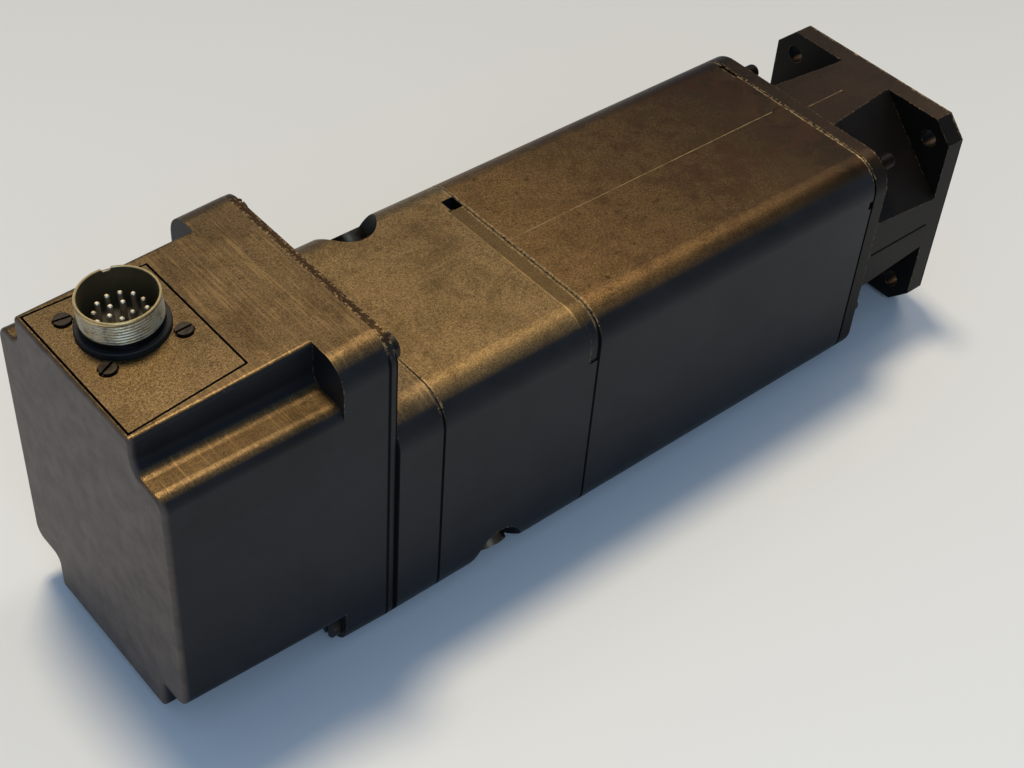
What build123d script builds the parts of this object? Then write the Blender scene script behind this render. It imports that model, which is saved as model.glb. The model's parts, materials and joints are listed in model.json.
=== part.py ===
from build123d import *

import os
from math import cos, radians, sin, sqrt, tan

os.makedirs("parts", exist_ok=True)

# Square permanent-magnet DC servo motor with a stepped rear cover and a top connector.
# The origin is the centre of the flange's mounting face. +X runs out along the shaft, +Z is up,
# and +Y is to the left for someone who looks along the shaft from behind.
# All sizes are in millimetres.

# Fits
press_gap = 0.02
running_gap = 0.05
seat_gap = 0.15
sliding_gap = 0.12
bolt_gap = 0.3

# Square body section, shared by the front plate, the stator, the brush housing and the rear shield
body_width = 95
body_corner_radius = 12.5
seam_chamfer = 0.35

# Flange and neck
flange_width = 90
flange_thickness = 8.5
flange_corner_cut = 8
flange_hole_radius = 3.5
flange_hole_circle_radius = 50
flange_hole_count = 4
flange_hole_angle = 45
pilot_radius = 40
pilot_height = 3
neck_length = 38.5
neck_front_corner_distance = 40.2
neck_rear_corner_distance = 43.2
neck_wall = 9.2
front_plate_thickness = 6.5

# Lengths of the sections behind the neck
stator_length = 137
brush_housing_length = 65.5
rear_shield_thickness = 18
rim_plate_thickness = 2.8
cover_length = 78

# Shaft
shaft_end_radius = 7
shaft_end_length = 30
front_journal_radius = 8.5
shaft_body_radius = 10
commutator_seat_radius = 9
rear_journal_radius = 7.5
tail_radius = 4
shaft_chamfer = 1
centre_hole_radius = 2.1
centre_hole_depth = 12
centre_countersink_radius = 2.65
centre_countersink_angle = 60

# Bearings and their seats
ball_count = 8
front_bearing_outer_radius = 20
front_bearing_width = 12
front_bearing_setback = 13
rear_bearing_outer_radius = 17.5
rear_bearing_width = 11
rear_bearing_setback = 2
ball_share_of_section = 0.587
groove_gap = 0.05
cage_thickness = 2.1
pocket_gap = 0.2
shoulder_share = 0.82
cage_rib = 0.9
preload_room = 1.4
preload_sheet = 0.6

# Shaft seal, circlip and bearing retainer
seal_radius = 15
seal_width = 7
seal_setback = 0.5
seal_lip_width = 2
seal_wall = 1.8
circlip_thickness = 1
circlip_groove_depth = 0.4
circlip_height = 2.8
circlip_opening = 3
circlip_room = 1.5
retainer_thickness = 3
retainer_radius = 28
retainer_screw_count = 3
retainer_screw_circle_radius = 23.8
retainer_screw_radius = 2
retainer_screw_head_radius = 3.5
retainer_screw_head_height = 2.6
retainer_screw_reach = 8
first_screw_angle = 90

# Field magnets and armature
pole_count = 6
magnet_thickness = 8.3
magnet_span = 50
magnet_length = 124
air_gap = 1
stator_bore_radius = 39
core_length = 110
slot_count = 19
slot_width = 4.4
slot_depth = 8.5
slot_liner = 0.3
end_turn_length = 10
end_turn_inner_radius = 13

# Commutator and brushes
commutator_radius = 23
commutator_bore_radius = 14
commutator_length = 36
commutator_lead = 5
bar_count = 38
bar_gap = 0.7
bar_gap_depth = 1.6
riser_height = 2.5
riser_width = 3
hub_overhang = 2
brush_setback = 38.5
brush_length = 17
brush_width = 10.8
brush_thickness = 6
brush_lift = 4
commutator_clearance = 0.3
holder_radius = 8
holder_start_radius = 26
holder_stand = 1.7
cap_radius = 6.4
cap_thickness = 8.8
cap_depth = 2.2
cap_slot_width = 1.6
cap_slot_depth = 1.4
cap_slot_angle = 20
spring_radius = 2.1
spring_wire = 0.7
spring_turns = 4
brush_cavity_radius = 37

# Round pockets in two opposite corners of the brush housing, each round a brush cap
access_pocket_radius = 12
access_pocket_depth = 8.2

# Tie studs through the stator
stud_position = 36
stud_radius = 3
stud_length_in_brush_housing = 21
stud_end_length = 15.5
stud_end_rounding = 1.6
nut_width = 10
nut_height = 5
nut_turn = 30
washer_radius = 5.8
washer_thickness = 1.2

# Screws of the rear shield, the rim plate and the cover
shield_screw_position = (40, 20)
shield_screw_radius = 2.5
shield_screw_head_radius = 4.25
shield_screw_head_height = 5
shield_screw_reach = 12
rim_screw_position = 26
rim_screw_radius = 2
rim_screw_head_radius = 4
countersink_angle = 90
rim_screw_reach = 8
cover_screw_radius = 2.5
cover_screw_head_radius = 4.2
cover_screw_head_height = 3.2
cover_screw_slot = 1.2
upper_cover_screw = (39, 73.5)
lower_cover_screw = (39.5, -39.5)
lower_cover_screw_reach = 10
upper_cover_screw_reach = 11

# Rear shield and rim plate openings
shield_shaft_hole_radius = 12
lead_hole_radius = 5
lead_hole_height = 36.5
rim_opening_radius = 21

# Rear cover
cover_half_width = 46.2
cover_top = 81.4
cover_bottom = -47.5
cover_draft = 2.9
cover_band_length = 16.7
cover_band_radius = 9.5
top_land = (-31, 33)
bottom_land = (-32, 32)
recess_floor = 65
lower_recess_ceiling = -33.7
recess_corner_radius = 5
floor_edge_radius = 5
land_edge_radius = 1.6
cover_wall = 4
cover_post_radius = 6.5
lower_recess_corner_radius = 3
hollow_corner_radius = 2
cover_edge_radius = 1.2
ledge_width = 2.5
ledge_thickness = 2.5

# Lid plate and connector, which stand square on the cover's sloping top; heights count from that top
lid_front_setback = 36.3
lid_rear_margin = 1.9
lid_front_edge = (-25.5, 27.6)
lid_rear_edge = (-28.2, 30.3)
lid_groove = 0.8
lid_thickness = 6
connector_setback = 55.25
connector_offset = 9.1
connector_rim_height = 12.6
shell_radius = 12.7
shell_neck_radius = 12.4
shell_bore_radius = 11.75
shell_thread_bottom = 2.4
connector_flange_width = 30
connector_flange_thickness = 3
connector_flange_radius = 3
connector_skirt_length = 8
insert_height = -0.6
pin_radius = 0.8
pin_height = 6.6
pin_tail = 5
pin_tip_chamfer = 0.3
rim_chamfer = 0.3
outer_pin_count = 12
outer_pin_circle = 7.63
inner_pin_circle = 3.6
inner_pin_angles = (48, 114, 180, 246, 312)
base_ring_radius = 14.2
base_ring_height = 2.1
ring_seat_depth = 0.9
connector_screw_pitch = 25.4
connector_screw_radius = 1.5
connector_screw_head_radius = 2.75
connector_screw_head_height = 2.2
connector_screw_slot = 0.8
connector_slot_angles = (35, 0, -11, 24)
screw_seat_depth = 1.2
screw_pit_gap = 0.45
socket_share = 0.8

# Tachogenerator in the cover
tacho_radius = 26
tacho_length = 41
tacho_wall = 3
tacho_flange_radius = 31
tacho_flange_thickness = 3
tacho_magnet_thickness = 5.9
tacho_gap = 0.7
tacho_rotor_length = 28
tacho_rotor_setback = 6
tacho_screw_count = 3
tacho_screw_circle = 28.5
tacho_screw_radius = 1.5
tacho_screw_head_radius = 2.4
tacho_screw_head_height = 2
tacho_screw_reach = 2.4

# Small openings and steps on the outside of the brush housing
vent_length = 5.4
vent_edges = (25.8, 31.5)
vent_depth = 5
band_step_length = 6.5
band_step_depth = 0.6
band_corner_length = 4
band_corner_start = -33
band_side_end = 29

# Slots at the front plate's seam where a lever parts the castings
pry_slot_top = (26, 35)
pry_slot_side = (29.6, 33.2)
pry_slot_width = 2.2
pry_slot_depth = 1.2

# Stations along the axis, counted back from the mounting face
flange_back = -flange_thickness
neck_back = flange_back - neck_length
plate_back = neck_back - front_plate_thickness
stator_back = plate_back - stator_length
brush_housing_back = stator_back - brush_housing_length
shield_back = brush_housing_back - rear_shield_thickness
rim_back = shield_back - rim_plate_thickness
cover_back = rim_back - cover_length
band_back = rim_back - cover_band_length

front_bearing_front = -front_bearing_setback
front_bearing_back = front_bearing_front - front_bearing_width
rear_bearing_front = brush_housing_back - rear_bearing_setback
rear_bearing_back = rear_bearing_front - rear_bearing_width
seal_floor = -seal_setback - seal_width - seat_gap
lip_back = seal_floor - seal_lip_width
magnet_front = plate_back - (stator_length - magnet_length) / 2
magnet_back = magnet_front - magnet_length
core_front = magnet_front - (magnet_length - core_length) / 2
core_back = core_front - core_length
winding_front = core_front + end_turn_length
winding_back = core_back - end_turn_length
brush_x = stator_back - brush_setback
commutator_front = brush_x + commutator_length / 2 + commutator_lead
commutator_back = commutator_front - commutator_length
tacho_back = rim_back - tacho_length
tacho_rotor_front = rim_back - tacho_rotor_setback
tacho_rotor_back = tacho_rotor_front - tacho_rotor_length

# Radii that follow from the sizes above
magnet_outer_radius = stator_bore_radius - seat_gap
magnet_inner_radius = magnet_outer_radius - magnet_thickness
core_radius = magnet_inner_radius - air_gap
body_corner_reach = sqrt(2) * (body_width / 2 - body_corner_radius) + body_corner_radius
pocket_floor_radius = body_corner_reach - access_pocket_depth
cap_face_radius = body_corner_reach - cap_depth
rear_bearing_seat_end = rear_bearing_back - preload_room
front_cavity_radius = neck_rear_corner_distance - neck_wall
circlip_room_radius = front_journal_radius + circlip_height + circlip_room


# Planes of the cover's top; x runs forwards along the slope, and the second one has the connector's axis
top_slope = tan(radians(cover_draft))
lid_plane = Plane(origin=(rim_back, 0, cover_top), x_dir=(1, 0, top_slope), z_dir=(-top_slope, 0, 1))
connector_plane = Plane(
    origin=lid_plane.from_local_coords((-connector_setback, connector_offset, 0)),
    x_dir=lid_plane.x_dir,
    z_dir=lid_plane.z_dir,
)


def cover_top_at(x):
    """Height of the cover's top, which falls towards the rear."""
    return cover_top - (rim_back - x) * tan(radians(cover_draft))


def cover_bottom_at(x):
    """Height of the cover's underside, which rises towards the rear."""
    return cover_bottom + (rim_back - x) * tan(radians(cover_draft))


def round_bars(places, radius, front, back, mode=Mode.ADD):
    """Round bars or holes along the axis at the given (y, z) places."""
    with BuildSketch(Plane.YZ.offset(back)) as sections:
        with Locations(*places):
            Circle(radius)
    extrude(sections.sketch, amount=front - back, mode=mode)


def body_outline():
    """The motor's rounded square section."""
    RectangleRounded(body_width, body_width, body_corner_radius)


def chamfer_seam(face):
    """Break the outer edge of an end face, which shows as a groove where two sections meet."""
    chamfer(face.outer_wire().edges(), length=seam_chamfer)


def corners(position):
    """The four (y, z) places of a square or rectangular pattern."""
    y, z = position
    return [(y, z), (-y, z), (-y, -z), (y, -z)]


def on_circle(radius, count, start_angle=0):
    """The (y, z) places of a round pattern."""
    angles = [radians(start_angle + 360 * i / count) for i in range(count)]
    return [(radius * cos(a), radius * sin(a)) for a in angles]


flange_hole_places = on_circle(flange_hole_circle_radius, flange_hole_count, flange_hole_angle)
stud_places = corners((stud_position, stud_position))
shield_screw_places = corners(shield_screw_position)
rim_screw_places = corners((rim_screw_position, rim_screw_position))
upper_screw_places = [upper_cover_screw, (-upper_cover_screw[0], upper_cover_screw[1])]
lower_screw_places = [lower_cover_screw, (-lower_cover_screw[0], lower_cover_screw[1])]
retainer_screw_places = on_circle(retainer_screw_circle_radius, retainer_screw_count, first_screw_angle)
tacho_screw_places = on_circle(tacho_screw_circle, tacho_screw_count, first_screw_angle)

# Front end shield: one casting with the flange, the tapering eight-sided neck and the front plate
with BuildPart() as front_end_shield:
    with BuildSketch(Plane.YZ.offset(flange_back)):
        Rectangle(flange_width, flange_width)
        chamfer(vertices(), length=flange_corner_cut)
    extrude(amount=flange_thickness)
    with BuildSketch(Plane.YZ):
        Circle(pilot_radius)
    extrude(amount=pilot_height)
    for station, distance in (
        (flange_back, neck_front_corner_distance),
        (neck_back, neck_rear_corner_distance),
    ):
        with BuildSketch(Plane.YZ.offset(station)):
            Rectangle(flange_width, flange_width)
            chamfer(vertices(), length=flange_width - sqrt(2) * distance)
    loft()
    with BuildSketch(Plane.YZ.offset(plate_back)):
        body_outline()
    extrude(amount=front_plate_thickness)
    chamfer_seam(faces().filter_by(Axis.X).sort_by(Axis.X)[0])
    # Flange holes and stud holes
    round_bars(flange_hole_places, flange_hole_radius, 0, flange_back, Mode.SUBTRACT)
    round_bars(stud_places, stud_radius + bolt_gap, neck_back, plate_back, Mode.SUBTRACT)
    # Seal bore, lip, circlip room, bearing seat and the cavity for the end turns, on one axis
    with BuildSketch(Plane.XZ):
        with BuildLine():
            Polyline(
                (pilot_height, 0),
                (pilot_height, seal_radius + press_gap),
                (seal_floor, seal_radius + press_gap),
                (seal_floor, front_journal_radius + seal_wall),
                (lip_back, front_journal_radius + seal_wall),
                (lip_back, circlip_room_radius),
                (front_bearing_front, circlip_room_radius),
                (front_bearing_front, front_bearing_outer_radius + press_gap),
                (front_bearing_back, front_bearing_outer_radius + press_gap),
                (front_bearing_back, front_cavity_radius),
                (plate_back, front_cavity_radius),
                (plate_back, 0),
                close=True,
            )
        make_face()
    revolve(axis=Axis.X, mode=Mode.SUBTRACT)
    round_bars(
        retainer_screw_places,
        retainer_screw_radius + press_gap,
        front_bearing_back + retainer_screw_reach + bolt_gap,
        front_bearing_back,
        Mode.SUBTRACT,
    )
front_end_shield.part.label = "front_end_shield"
export_step(front_end_shield.part, "parts/front_end_shield.step")

# Stator housing: the steel yoke tube
with BuildPart() as stator_housing:
    with BuildSketch(Plane.YZ.offset(stator_back)):
        body_outline()
        Circle(stator_bore_radius, mode=Mode.SUBTRACT)
    extrude(amount=stator_length)
    chamfer_seam(faces().sort_by(Axis.X)[0])
    chamfer_seam(faces().sort_by(Axis.X)[-1])
    round_bars(stud_places, stud_radius + bolt_gap, plate_back, stator_back, Mode.SUBTRACT)
    with BuildSketch(Plane.YZ.offset(plate_back - pry_slot_width)):
        with Locations((sum(pry_slot_top) / 2, body_width / 2)):
            Rectangle(pry_slot_top[1] - pry_slot_top[0], 2 * pry_slot_depth)
        with Locations((-body_width / 2, sum(pry_slot_side) / 2)):
            Rectangle(2 * pry_slot_depth, pry_slot_side[1] - pry_slot_side[0])
    extrude(amount=pry_slot_width, mode=Mode.SUBTRACT)
stator_housing.part.label = "stator_housing"
export_step(stator_housing.part, "parts/stator_housing.step")

# Field magnets: arc segments glued to the bore
for number in range(pole_count):
    pole_angle = 360 / pole_count * number
    with BuildPart() as field_magnet:
        with BuildSketch(Plane.YZ.offset(magnet_back)):
            with BuildLine():
                start = pole_angle - magnet_span / 2
                outer = CenterArc((0, 0), magnet_outer_radius, start, magnet_span)
                inner = CenterArc((0, 0), magnet_inner_radius, start, magnet_span)
                Line(outer @ 0, inner @ 0)
                Line(outer @ 1, inner @ 1)
            make_face()
        extrude(amount=magnet_length)
    field_magnet.part.label = f"field_magnet_{number + 1}"
    export_step(field_magnet.part, f"parts/field_magnet_{number + 1}.step")


def brush_plane(side, radius=0):
    """Plane across a brush at the given radius: its x runs along the motor, its z points outwards."""
    outwards = side * sqrt(0.5)
    place = Plane(origin=(brush_x, 0, 0), x_dir=(1, 0, 0), z_dir=(0, outwards, outwards))
    return place.offset(radius)


# Brush housing: square casting with two round corner pockets and bores for the brush holders
with BuildPart() as brush_housing:
    with BuildSketch(Plane.YZ.offset(brush_housing_back)):
        body_outline()
        Circle(brush_cavity_radius, mode=Mode.SUBTRACT)
    extrude(amount=brush_housing_length)
    chamfer_seam(faces().sort_by(Axis.X)[0])
    chamfer_seam(faces().sort_by(Axis.X)[-1])
    for side in (1, -1):
        with BuildSketch(brush_plane(side, pocket_floor_radius)):
            Circle(access_pocket_radius)
        extrude(amount=access_pocket_depth, mode=Mode.SUBTRACT)
        with BuildSketch(brush_plane(side, brush_cavity_radius - holder_radius)):
            Circle(holder_radius + press_gap)
        extrude(amount=body_corner_reach, mode=Mode.SUBTRACT)
    round_bars(
        stud_places,
        stud_radius + press_gap,
        stator_back,
        stator_back - stud_length_in_brush_housing - bolt_gap,
        Mode.SUBTRACT,
    )
    round_bars(
        shield_screw_places,
        shield_screw_radius + press_gap,
        brush_housing_back + shield_screw_reach + bolt_gap,
        brush_housing_back,
        Mode.SUBTRACT,
    )
    # Square opening and shallow step at the front edge of the top; the step runs on round a corner
    with BuildSketch(Plane.XY.offset(body_width / 2)):
        with Locations((stator_back - vent_length / 2, sum(vent_edges) / 2)):
            Rectangle(vent_length, vent_edges[1] - vent_edges[0])
    extrude(amount=-vent_depth, mode=Mode.SUBTRACT)
    for length, start, end, low in (
        (band_step_length, band_corner_start, vent_edges[0], 0),
        (band_corner_length, -body_width / 2, band_corner_start, band_side_end),
    ):
        with BuildSketch(Plane.YZ.offset(stator_back - length)):
            body_outline()
            offset(amount=-band_step_depth, mode=Mode.SUBTRACT)
            with Locations(((start + end) / 2, (low + body_width) / 2)):
                Rectangle(end - start, body_width - low, mode=Mode.INTERSECT)
        extrude(amount=length, mode=Mode.SUBTRACT)
brush_housing.part.label = "brush_housing"
export_step(brush_housing.part, "parts/brush_housing.step")

# Brush gear: each side has an insulated holder, a carbon brush, its spring and a slotted cap
brush_top = commutator_radius + commutator_clearance + brush_length
cap_inner_radius = cap_face_radius - cap_thickness
spring_length = cap_inner_radius - brush_top - brush_lift - 3 * seat_gap
for letter, side in (("a", 1), ("b", -1)):
    with BuildPart() as brush_holder:
        with BuildSketch(brush_plane(side, holder_start_radius)):
            Circle(holder_radius)
            Rectangle(
                brush_width + 2 * sliding_gap, brush_thickness + 2 * sliding_gap, mode=Mode.SUBTRACT
            )
        extrude(amount=pocket_floor_radius + holder_stand - holder_start_radius)
        with BuildSketch(brush_plane(side, cap_inner_radius)):
            Circle(cap_radius + press_gap)
        extrude(amount=cap_thickness, mode=Mode.SUBTRACT)
    brush_holder.part.label = f"brush_holder_{letter}"
    export_step(brush_holder.part, f"parts/brush_holder_{letter}.step")

    with BuildPart() as brush:
        with BuildSketch(brush_plane(side, brush_top)):
            Rectangle(brush_width, brush_thickness)
        extrude(amount=-brush_length - commutator_clearance - brush_thickness)
        with BuildSketch(Plane.YZ.offset(brush_x - brush_width)):
            Circle(commutator_radius + commutator_clearance)
        extrude(amount=2 * brush_width, mode=Mode.SUBTRACT)
    brush.part.label = f"brush_{letter}"
    export_step(brush.part, f"parts/brush_{letter}.step")

    with BuildPart() as brush_spring:
        spring_seat = brush_plane(side, brush_top + seat_gap + spring_wire / 2)
        wire_run = spring_length - spring_wire
        with BuildLine():
            coil = Helix(
                pitch=wire_run / spring_turns,
                height=wire_run,
                radius=spring_radius,
                center=spring_seat.origin,
                direction=spring_seat.z_dir,
            )
        with BuildSketch(Plane(origin=coil @ 0, x_dir=spring_seat.z_dir, z_dir=coil % 0)):
            Rectangle(spring_wire, spring_wire)
        sweep(path=coil, is_frenet=True)
    brush_spring.part.label = f"brush_spring_{letter}"
    export_step(brush_spring.part, f"parts/brush_spring_{letter}.step")

    with BuildPart() as brush_cap:
        with BuildSketch(brush_plane(side, cap_inner_radius)):
            Circle(cap_radius)
        extrude(amount=cap_thickness)
        with BuildSketch(brush_plane(side, cap_face_radius)):
            Rectangle(2 * cap_radius, cap_slot_width, rotation=cap_slot_angle)
        extrude(amount=-cap_slot_depth, mode=Mode.SUBTRACT)
    brush_cap.part.label = f"brush_cap_{letter}"
    export_step(brush_cap.part, f"parts/brush_cap_{letter}.step")

# Rear end shield with the rear bearing's seat
with BuildPart() as rear_end_shield:
    with BuildSketch(Plane.YZ.offset(shield_back)):
        body_outline()
    extrude(amount=rear_shield_thickness)
    chamfer_seam(faces().sort_by(Axis.X)[0])
    chamfer_seam(faces().sort_by(Axis.X)[-1])
    round_bars(
        [(0, 0)], rear_bearing_outer_radius + press_gap, brush_housing_back, rear_bearing_seat_end,
        Mode.SUBTRACT,
    )
    round_bars([(0, 0)], shield_shaft_hole_radius, rear_bearing_seat_end, shield_back, Mode.SUBTRACT)
    round_bars([(0, lead_hole_height)], lead_hole_radius, brush_housing_back, shield_back, Mode.SUBTRACT)
    round_bars(
        shield_screw_places, shield_screw_radius + bolt_gap, brush_housing_back, shield_back, Mode.SUBTRACT
    )
    round_bars(
        shield_screw_places,
        shield_screw_head_radius + bolt_gap,
        shield_back + shield_screw_head_height + bolt_gap,
        shield_back,
        Mode.SUBTRACT,
    )
    round_bars(
        rim_screw_places,
        rim_screw_radius + press_gap,
        shield_back + rim_screw_reach + bolt_gap,
        shield_back,
        Mode.SUBTRACT,
    )
    round_bars(
        lower_screw_places,
        cover_screw_radius + press_gap,
        shield_back + lower_cover_screw_reach + bolt_gap,
        shield_back,
        Mode.SUBTRACT,
    )
rear_end_shield.part.label = "rear_end_shield"
export_step(rear_end_shield.part, "parts/rear_end_shield.step")


def cover_band_outline(x):
    """The cover's full section at a station, with drafted top and bottom."""
    top, bottom = cover_top_at(x), cover_bottom_at(x)
    with Locations((0, (top + bottom) / 2)):
        RectangleRounded(2 * cover_half_width, top - bottom, cover_band_radius)


# Rim plate: closes the cover's mouth; the upper screws go through it into the cover, the lower ones back
with BuildPart() as cover_rim_plate:
    with BuildSketch(Plane.YZ.offset(rim_back)):
        cover_band_outline(rim_back)
        Circle(rim_opening_radius, mode=Mode.SUBTRACT)
        with Locations((0, lead_hole_height)):
            Circle(lead_hole_radius, mode=Mode.SUBTRACT)
    extrude(amount=rim_plate_thickness)
    round_bars(
        upper_screw_places + lower_screw_places,
        cover_screw_radius + bolt_gap,
        shield_back,
        rim_back,
        Mode.SUBTRACT,
    )
    round_bars(
        tacho_screw_places, tacho_screw_radius + press_gap, shield_back, rim_back, Mode.SUBTRACT
    )
    with Locations(*[Plane((rim_back, y, z), z_dir=(-1, 0, 0)) for y, z in rim_screw_places]):
        CounterSinkHole(
            rim_screw_radius + bolt_gap,
            rim_screw_head_radius + bolt_gap,
            depth=rim_plate_thickness,
            counter_sink_angle=countersink_angle,
        )
cover_rim_plate.part.label = "cover_rim_plate"
export_step(cover_rim_plate.part, "parts/cover_rim_plate.step")


def cover_section(x):
    """The cover behind its front band: a top and a bottom land between four corner recesses."""
    top, bottom = cover_top_at(x), cover_bottom_at(x)
    ceiling = lower_recess_ceiling + (rim_back - x) * tan(radians(cover_draft))
    corners_and_radii = [
        ((top_land[0], top), land_edge_radius),
        ((top_land[0], recess_floor), recess_corner_radius),
        ((-cover_half_width, recess_floor), floor_edge_radius),
        ((-cover_half_width, ceiling), floor_edge_radius),
        ((bottom_land[0], ceiling), lower_recess_corner_radius),
        ((bottom_land[0], bottom), land_edge_radius),
        ((bottom_land[1], bottom), land_edge_radius),
        ((bottom_land[1], ceiling), lower_recess_corner_radius),
        ((cover_half_width, ceiling), floor_edge_radius),
        ((cover_half_width, recess_floor), floor_edge_radius),
        ((top_land[1], recess_floor), recess_corner_radius),
        ((top_land[1], top), land_edge_radius),
    ]
    with BuildLine() as outline:
        FilletPolyline(
            *[point for point, _ in corners_and_radii],
            radius=[radius for _, radius in corners_and_radii],
            close=True,
        )
    make_face(outline.edges())


def lid_outline():
    """The lid's trapezoid on its sloping plane, a little wider at the rear."""
    lid_front = -lid_front_setback
    lid_rear = lid_rear_margin - cover_length
    with BuildLine() as outline:
        Polyline(
            (lid_rear, lid_rear_edge[0]),
            (lid_rear, lid_rear_edge[1]),
            (lid_front, lid_front_edge[1]),
            (lid_front, lid_front_edge[0]),
            close=True,
        )
    make_face(outline.edges())


# Rear cover: drafted cast shell with a full front band and four corner recesses behind it
with BuildPart() as rear_cover:
    for station in (rim_back, band_back):
        with BuildSketch(Plane.YZ.offset(station)):
            cover_band_outline(station)
    loft(ruled=True)
    for station in (band_back, cover_back):
        with BuildSketch(Plane.YZ.offset(station)):
            cover_section(station)
    loft(ruled=True)
    fillet(faces().sort_by(Axis.X)[0].outer_wire().edges(), radius=cover_edge_radius)
    # Hollow of the front band, with a solid post round each cover screw
    band_floor = band_back + cover_wall
    with BuildSketch(Plane.YZ.offset(rim_back)):
        band_top, band_bottom = cover_top_at(band_floor), cover_bottom_at(band_floor)
        with Locations((0, (band_top + band_bottom) / 2)):
            RectangleRounded(
                2 * (cover_half_width - cover_wall),
                band_top - band_bottom - 2 * cover_wall,
                cover_band_radius - cover_wall,
            )
        with Locations(*upper_screw_places, *lower_screw_places):
            Circle(cover_post_radius, mode=Mode.SUBTRACT)
    extrude(amount=band_floor - rim_back, mode=Mode.SUBTRACT)
    # Hollow behind the band: a tall middle between the lands and a wide part between the recesses
    rear_floor = cover_back + cover_wall
    tall_bottom = cover_bottom_at(cover_back) + cover_wall
    tall_top = cover_top_at(cover_back) - lid_thickness - ledge_thickness
    wide_bottom = lower_recess_ceiling + (rim_back - cover_back) * tan(radians(cover_draft)) + cover_wall
    wide_top = recess_floor - cover_wall
    with BuildSketch(Plane.YZ.offset(band_floor)):
        with Locations((sum(top_land) / 2, (tall_top + tall_bottom) / 2)):
            Rectangle(top_land[1] - top_land[0] - 2 * cover_wall, tall_top - tall_bottom)
        with Locations((0, (wide_top + wide_bottom) / 2)):
            Rectangle(2 * (cover_half_width - cover_wall), wide_top - wide_bottom)
        fillet(vertices(), radius=hollow_corner_radius)
    extrude(amount=rear_floor - band_floor, mode=Mode.SUBTRACT)
    # Seat and window for the lid
    with BuildSketch(lid_plane.offset(-lid_thickness)):
        lid_outline()
        offset(amount=lid_groove, kind=Kind.INTERSECTION)
    extrude(amount=2 * lid_thickness, mode=Mode.SUBTRACT)
    with BuildSketch(lid_plane.offset(-lid_thickness)):
        lid_outline()
        offset(amount=-ledge_width, kind=Kind.INTERSECTION)
    extrude(amount=tall_top - cover_top, mode=Mode.SUBTRACT)
    round_bars(lower_screw_places, cover_screw_radius + bolt_gap, rim_back, band_back, Mode.SUBTRACT)
    round_bars(
        upper_screw_places,
        cover_screw_radius + press_gap,
        rim_back,
        rim_back - upper_cover_screw_reach - bolt_gap,
        Mode.SUBTRACT,
    )
rear_cover.part.label = "rear_cover"
export_step(rear_cover.part, "parts/rear_cover.step")

# Lid plate: fills the window in the cover's top and carries the connector
connector_screw_places = [
    (x * connector_screw_pitch / 2, y * connector_screw_pitch / 2) for x in (1, -1) for y in (1, -1)
]
with BuildPart() as connector_plate:
    with BuildSketch(lid_plane.offset(-lid_thickness)):
        lid_outline()
    extrude(amount=lid_thickness)
    with BuildSketch(connector_plane.offset(-ring_seat_depth)):
        Circle(base_ring_radius + seat_gap)
    extrude(amount=lid_thickness, mode=Mode.SUBTRACT)
    with BuildSketch(connector_plane.offset(-lid_thickness)):
        Circle(shell_neck_radius + seat_gap)
        with Locations(*connector_screw_places):
            Circle(connector_screw_radius + seat_gap)
    extrude(amount=lid_thickness, mode=Mode.SUBTRACT)
    with BuildSketch(connector_plane.offset(-screw_seat_depth)):
        with Locations(*connector_screw_places):
            Circle(connector_screw_head_radius + screw_pit_gap)
    extrude(amount=lid_thickness, mode=Mode.SUBTRACT)
connector_plate.part.label = "connector_plate"
export_step(connector_plate.part, "parts/connector_plate.step")

# Connector shell: square flange under the lid, round threaded collar above its neck, skirt below
flange_bottom = -lid_thickness - connector_flange_thickness
skirt_bottom = flange_bottom - connector_skirt_length
with BuildPart() as connector_shell:
    with BuildSketch(connector_plane.offset(flange_bottom)):
        RectangleRounded(connector_flange_width, connector_flange_width, connector_flange_radius)
        with Locations(*connector_screw_places):
            Circle(connector_screw_radius + press_gap, mode=Mode.SUBTRACT)
    extrude(amount=connector_flange_thickness)
    with BuildSketch(connector_plane.offset(skirt_bottom)):
        Circle(shell_neck_radius)
    extrude(amount=connector_rim_height - skirt_bottom)
    with BuildSketch(connector_plane.offset(shell_thread_bottom)):
        Circle(shell_radius)
    extrude(amount=connector_rim_height - shell_thread_bottom)
    chamfer(edges().sort_by(Axis.Z)[-1], length=rim_chamfer)
    with BuildSketch(connector_plane.offset(skirt_bottom)):
        Circle(shell_bore_radius)
    extrude(amount=connector_rim_height - skirt_bottom, mode=Mode.SUBTRACT)
connector_shell.part.label = "connector_shell"
export_step(connector_shell.part, "parts/connector_shell.step")

# Insulating insert and its contact pins on two circles
inner_pin_places = [
    (inner_pin_circle * cos(radians(a)), inner_pin_circle * sin(radians(a))) for a in inner_pin_angles
]
pin_places = on_circle(outer_pin_circle, outer_pin_count) + inner_pin_places
with BuildPart() as connector_insert:
    with BuildSketch(connector_plane.offset(skirt_bottom)):
        Circle(shell_bore_radius - press_gap)
        with Locations(*pin_places):
            Circle(pin_radius + press_gap, mode=Mode.SUBTRACT)
    extrude(amount=insert_height - skirt_bottom)
connector_insert.part.label = "connector_insert"
export_step(connector_insert.part, "parts/connector_insert.step")

with BuildPart() as connector_pins:
    pin_bottom = skirt_bottom - pin_tail
    with BuildSketch(connector_plane.offset(pin_bottom)):
        with Locations(*pin_places):
            Circle(pin_radius)
    extrude(amount=pin_height - pin_bottom)
    pin_tips = faces().filter_by(lambda f: f.normal_at().dot(connector_plane.z_dir) > socket_share)
    chamfer(pin_tips.edges(), length=pin_tip_chamfer)
connector_pins.part.label = "connector_pins"
export_step(connector_pins.part, "parts/connector_pins.step")

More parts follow.
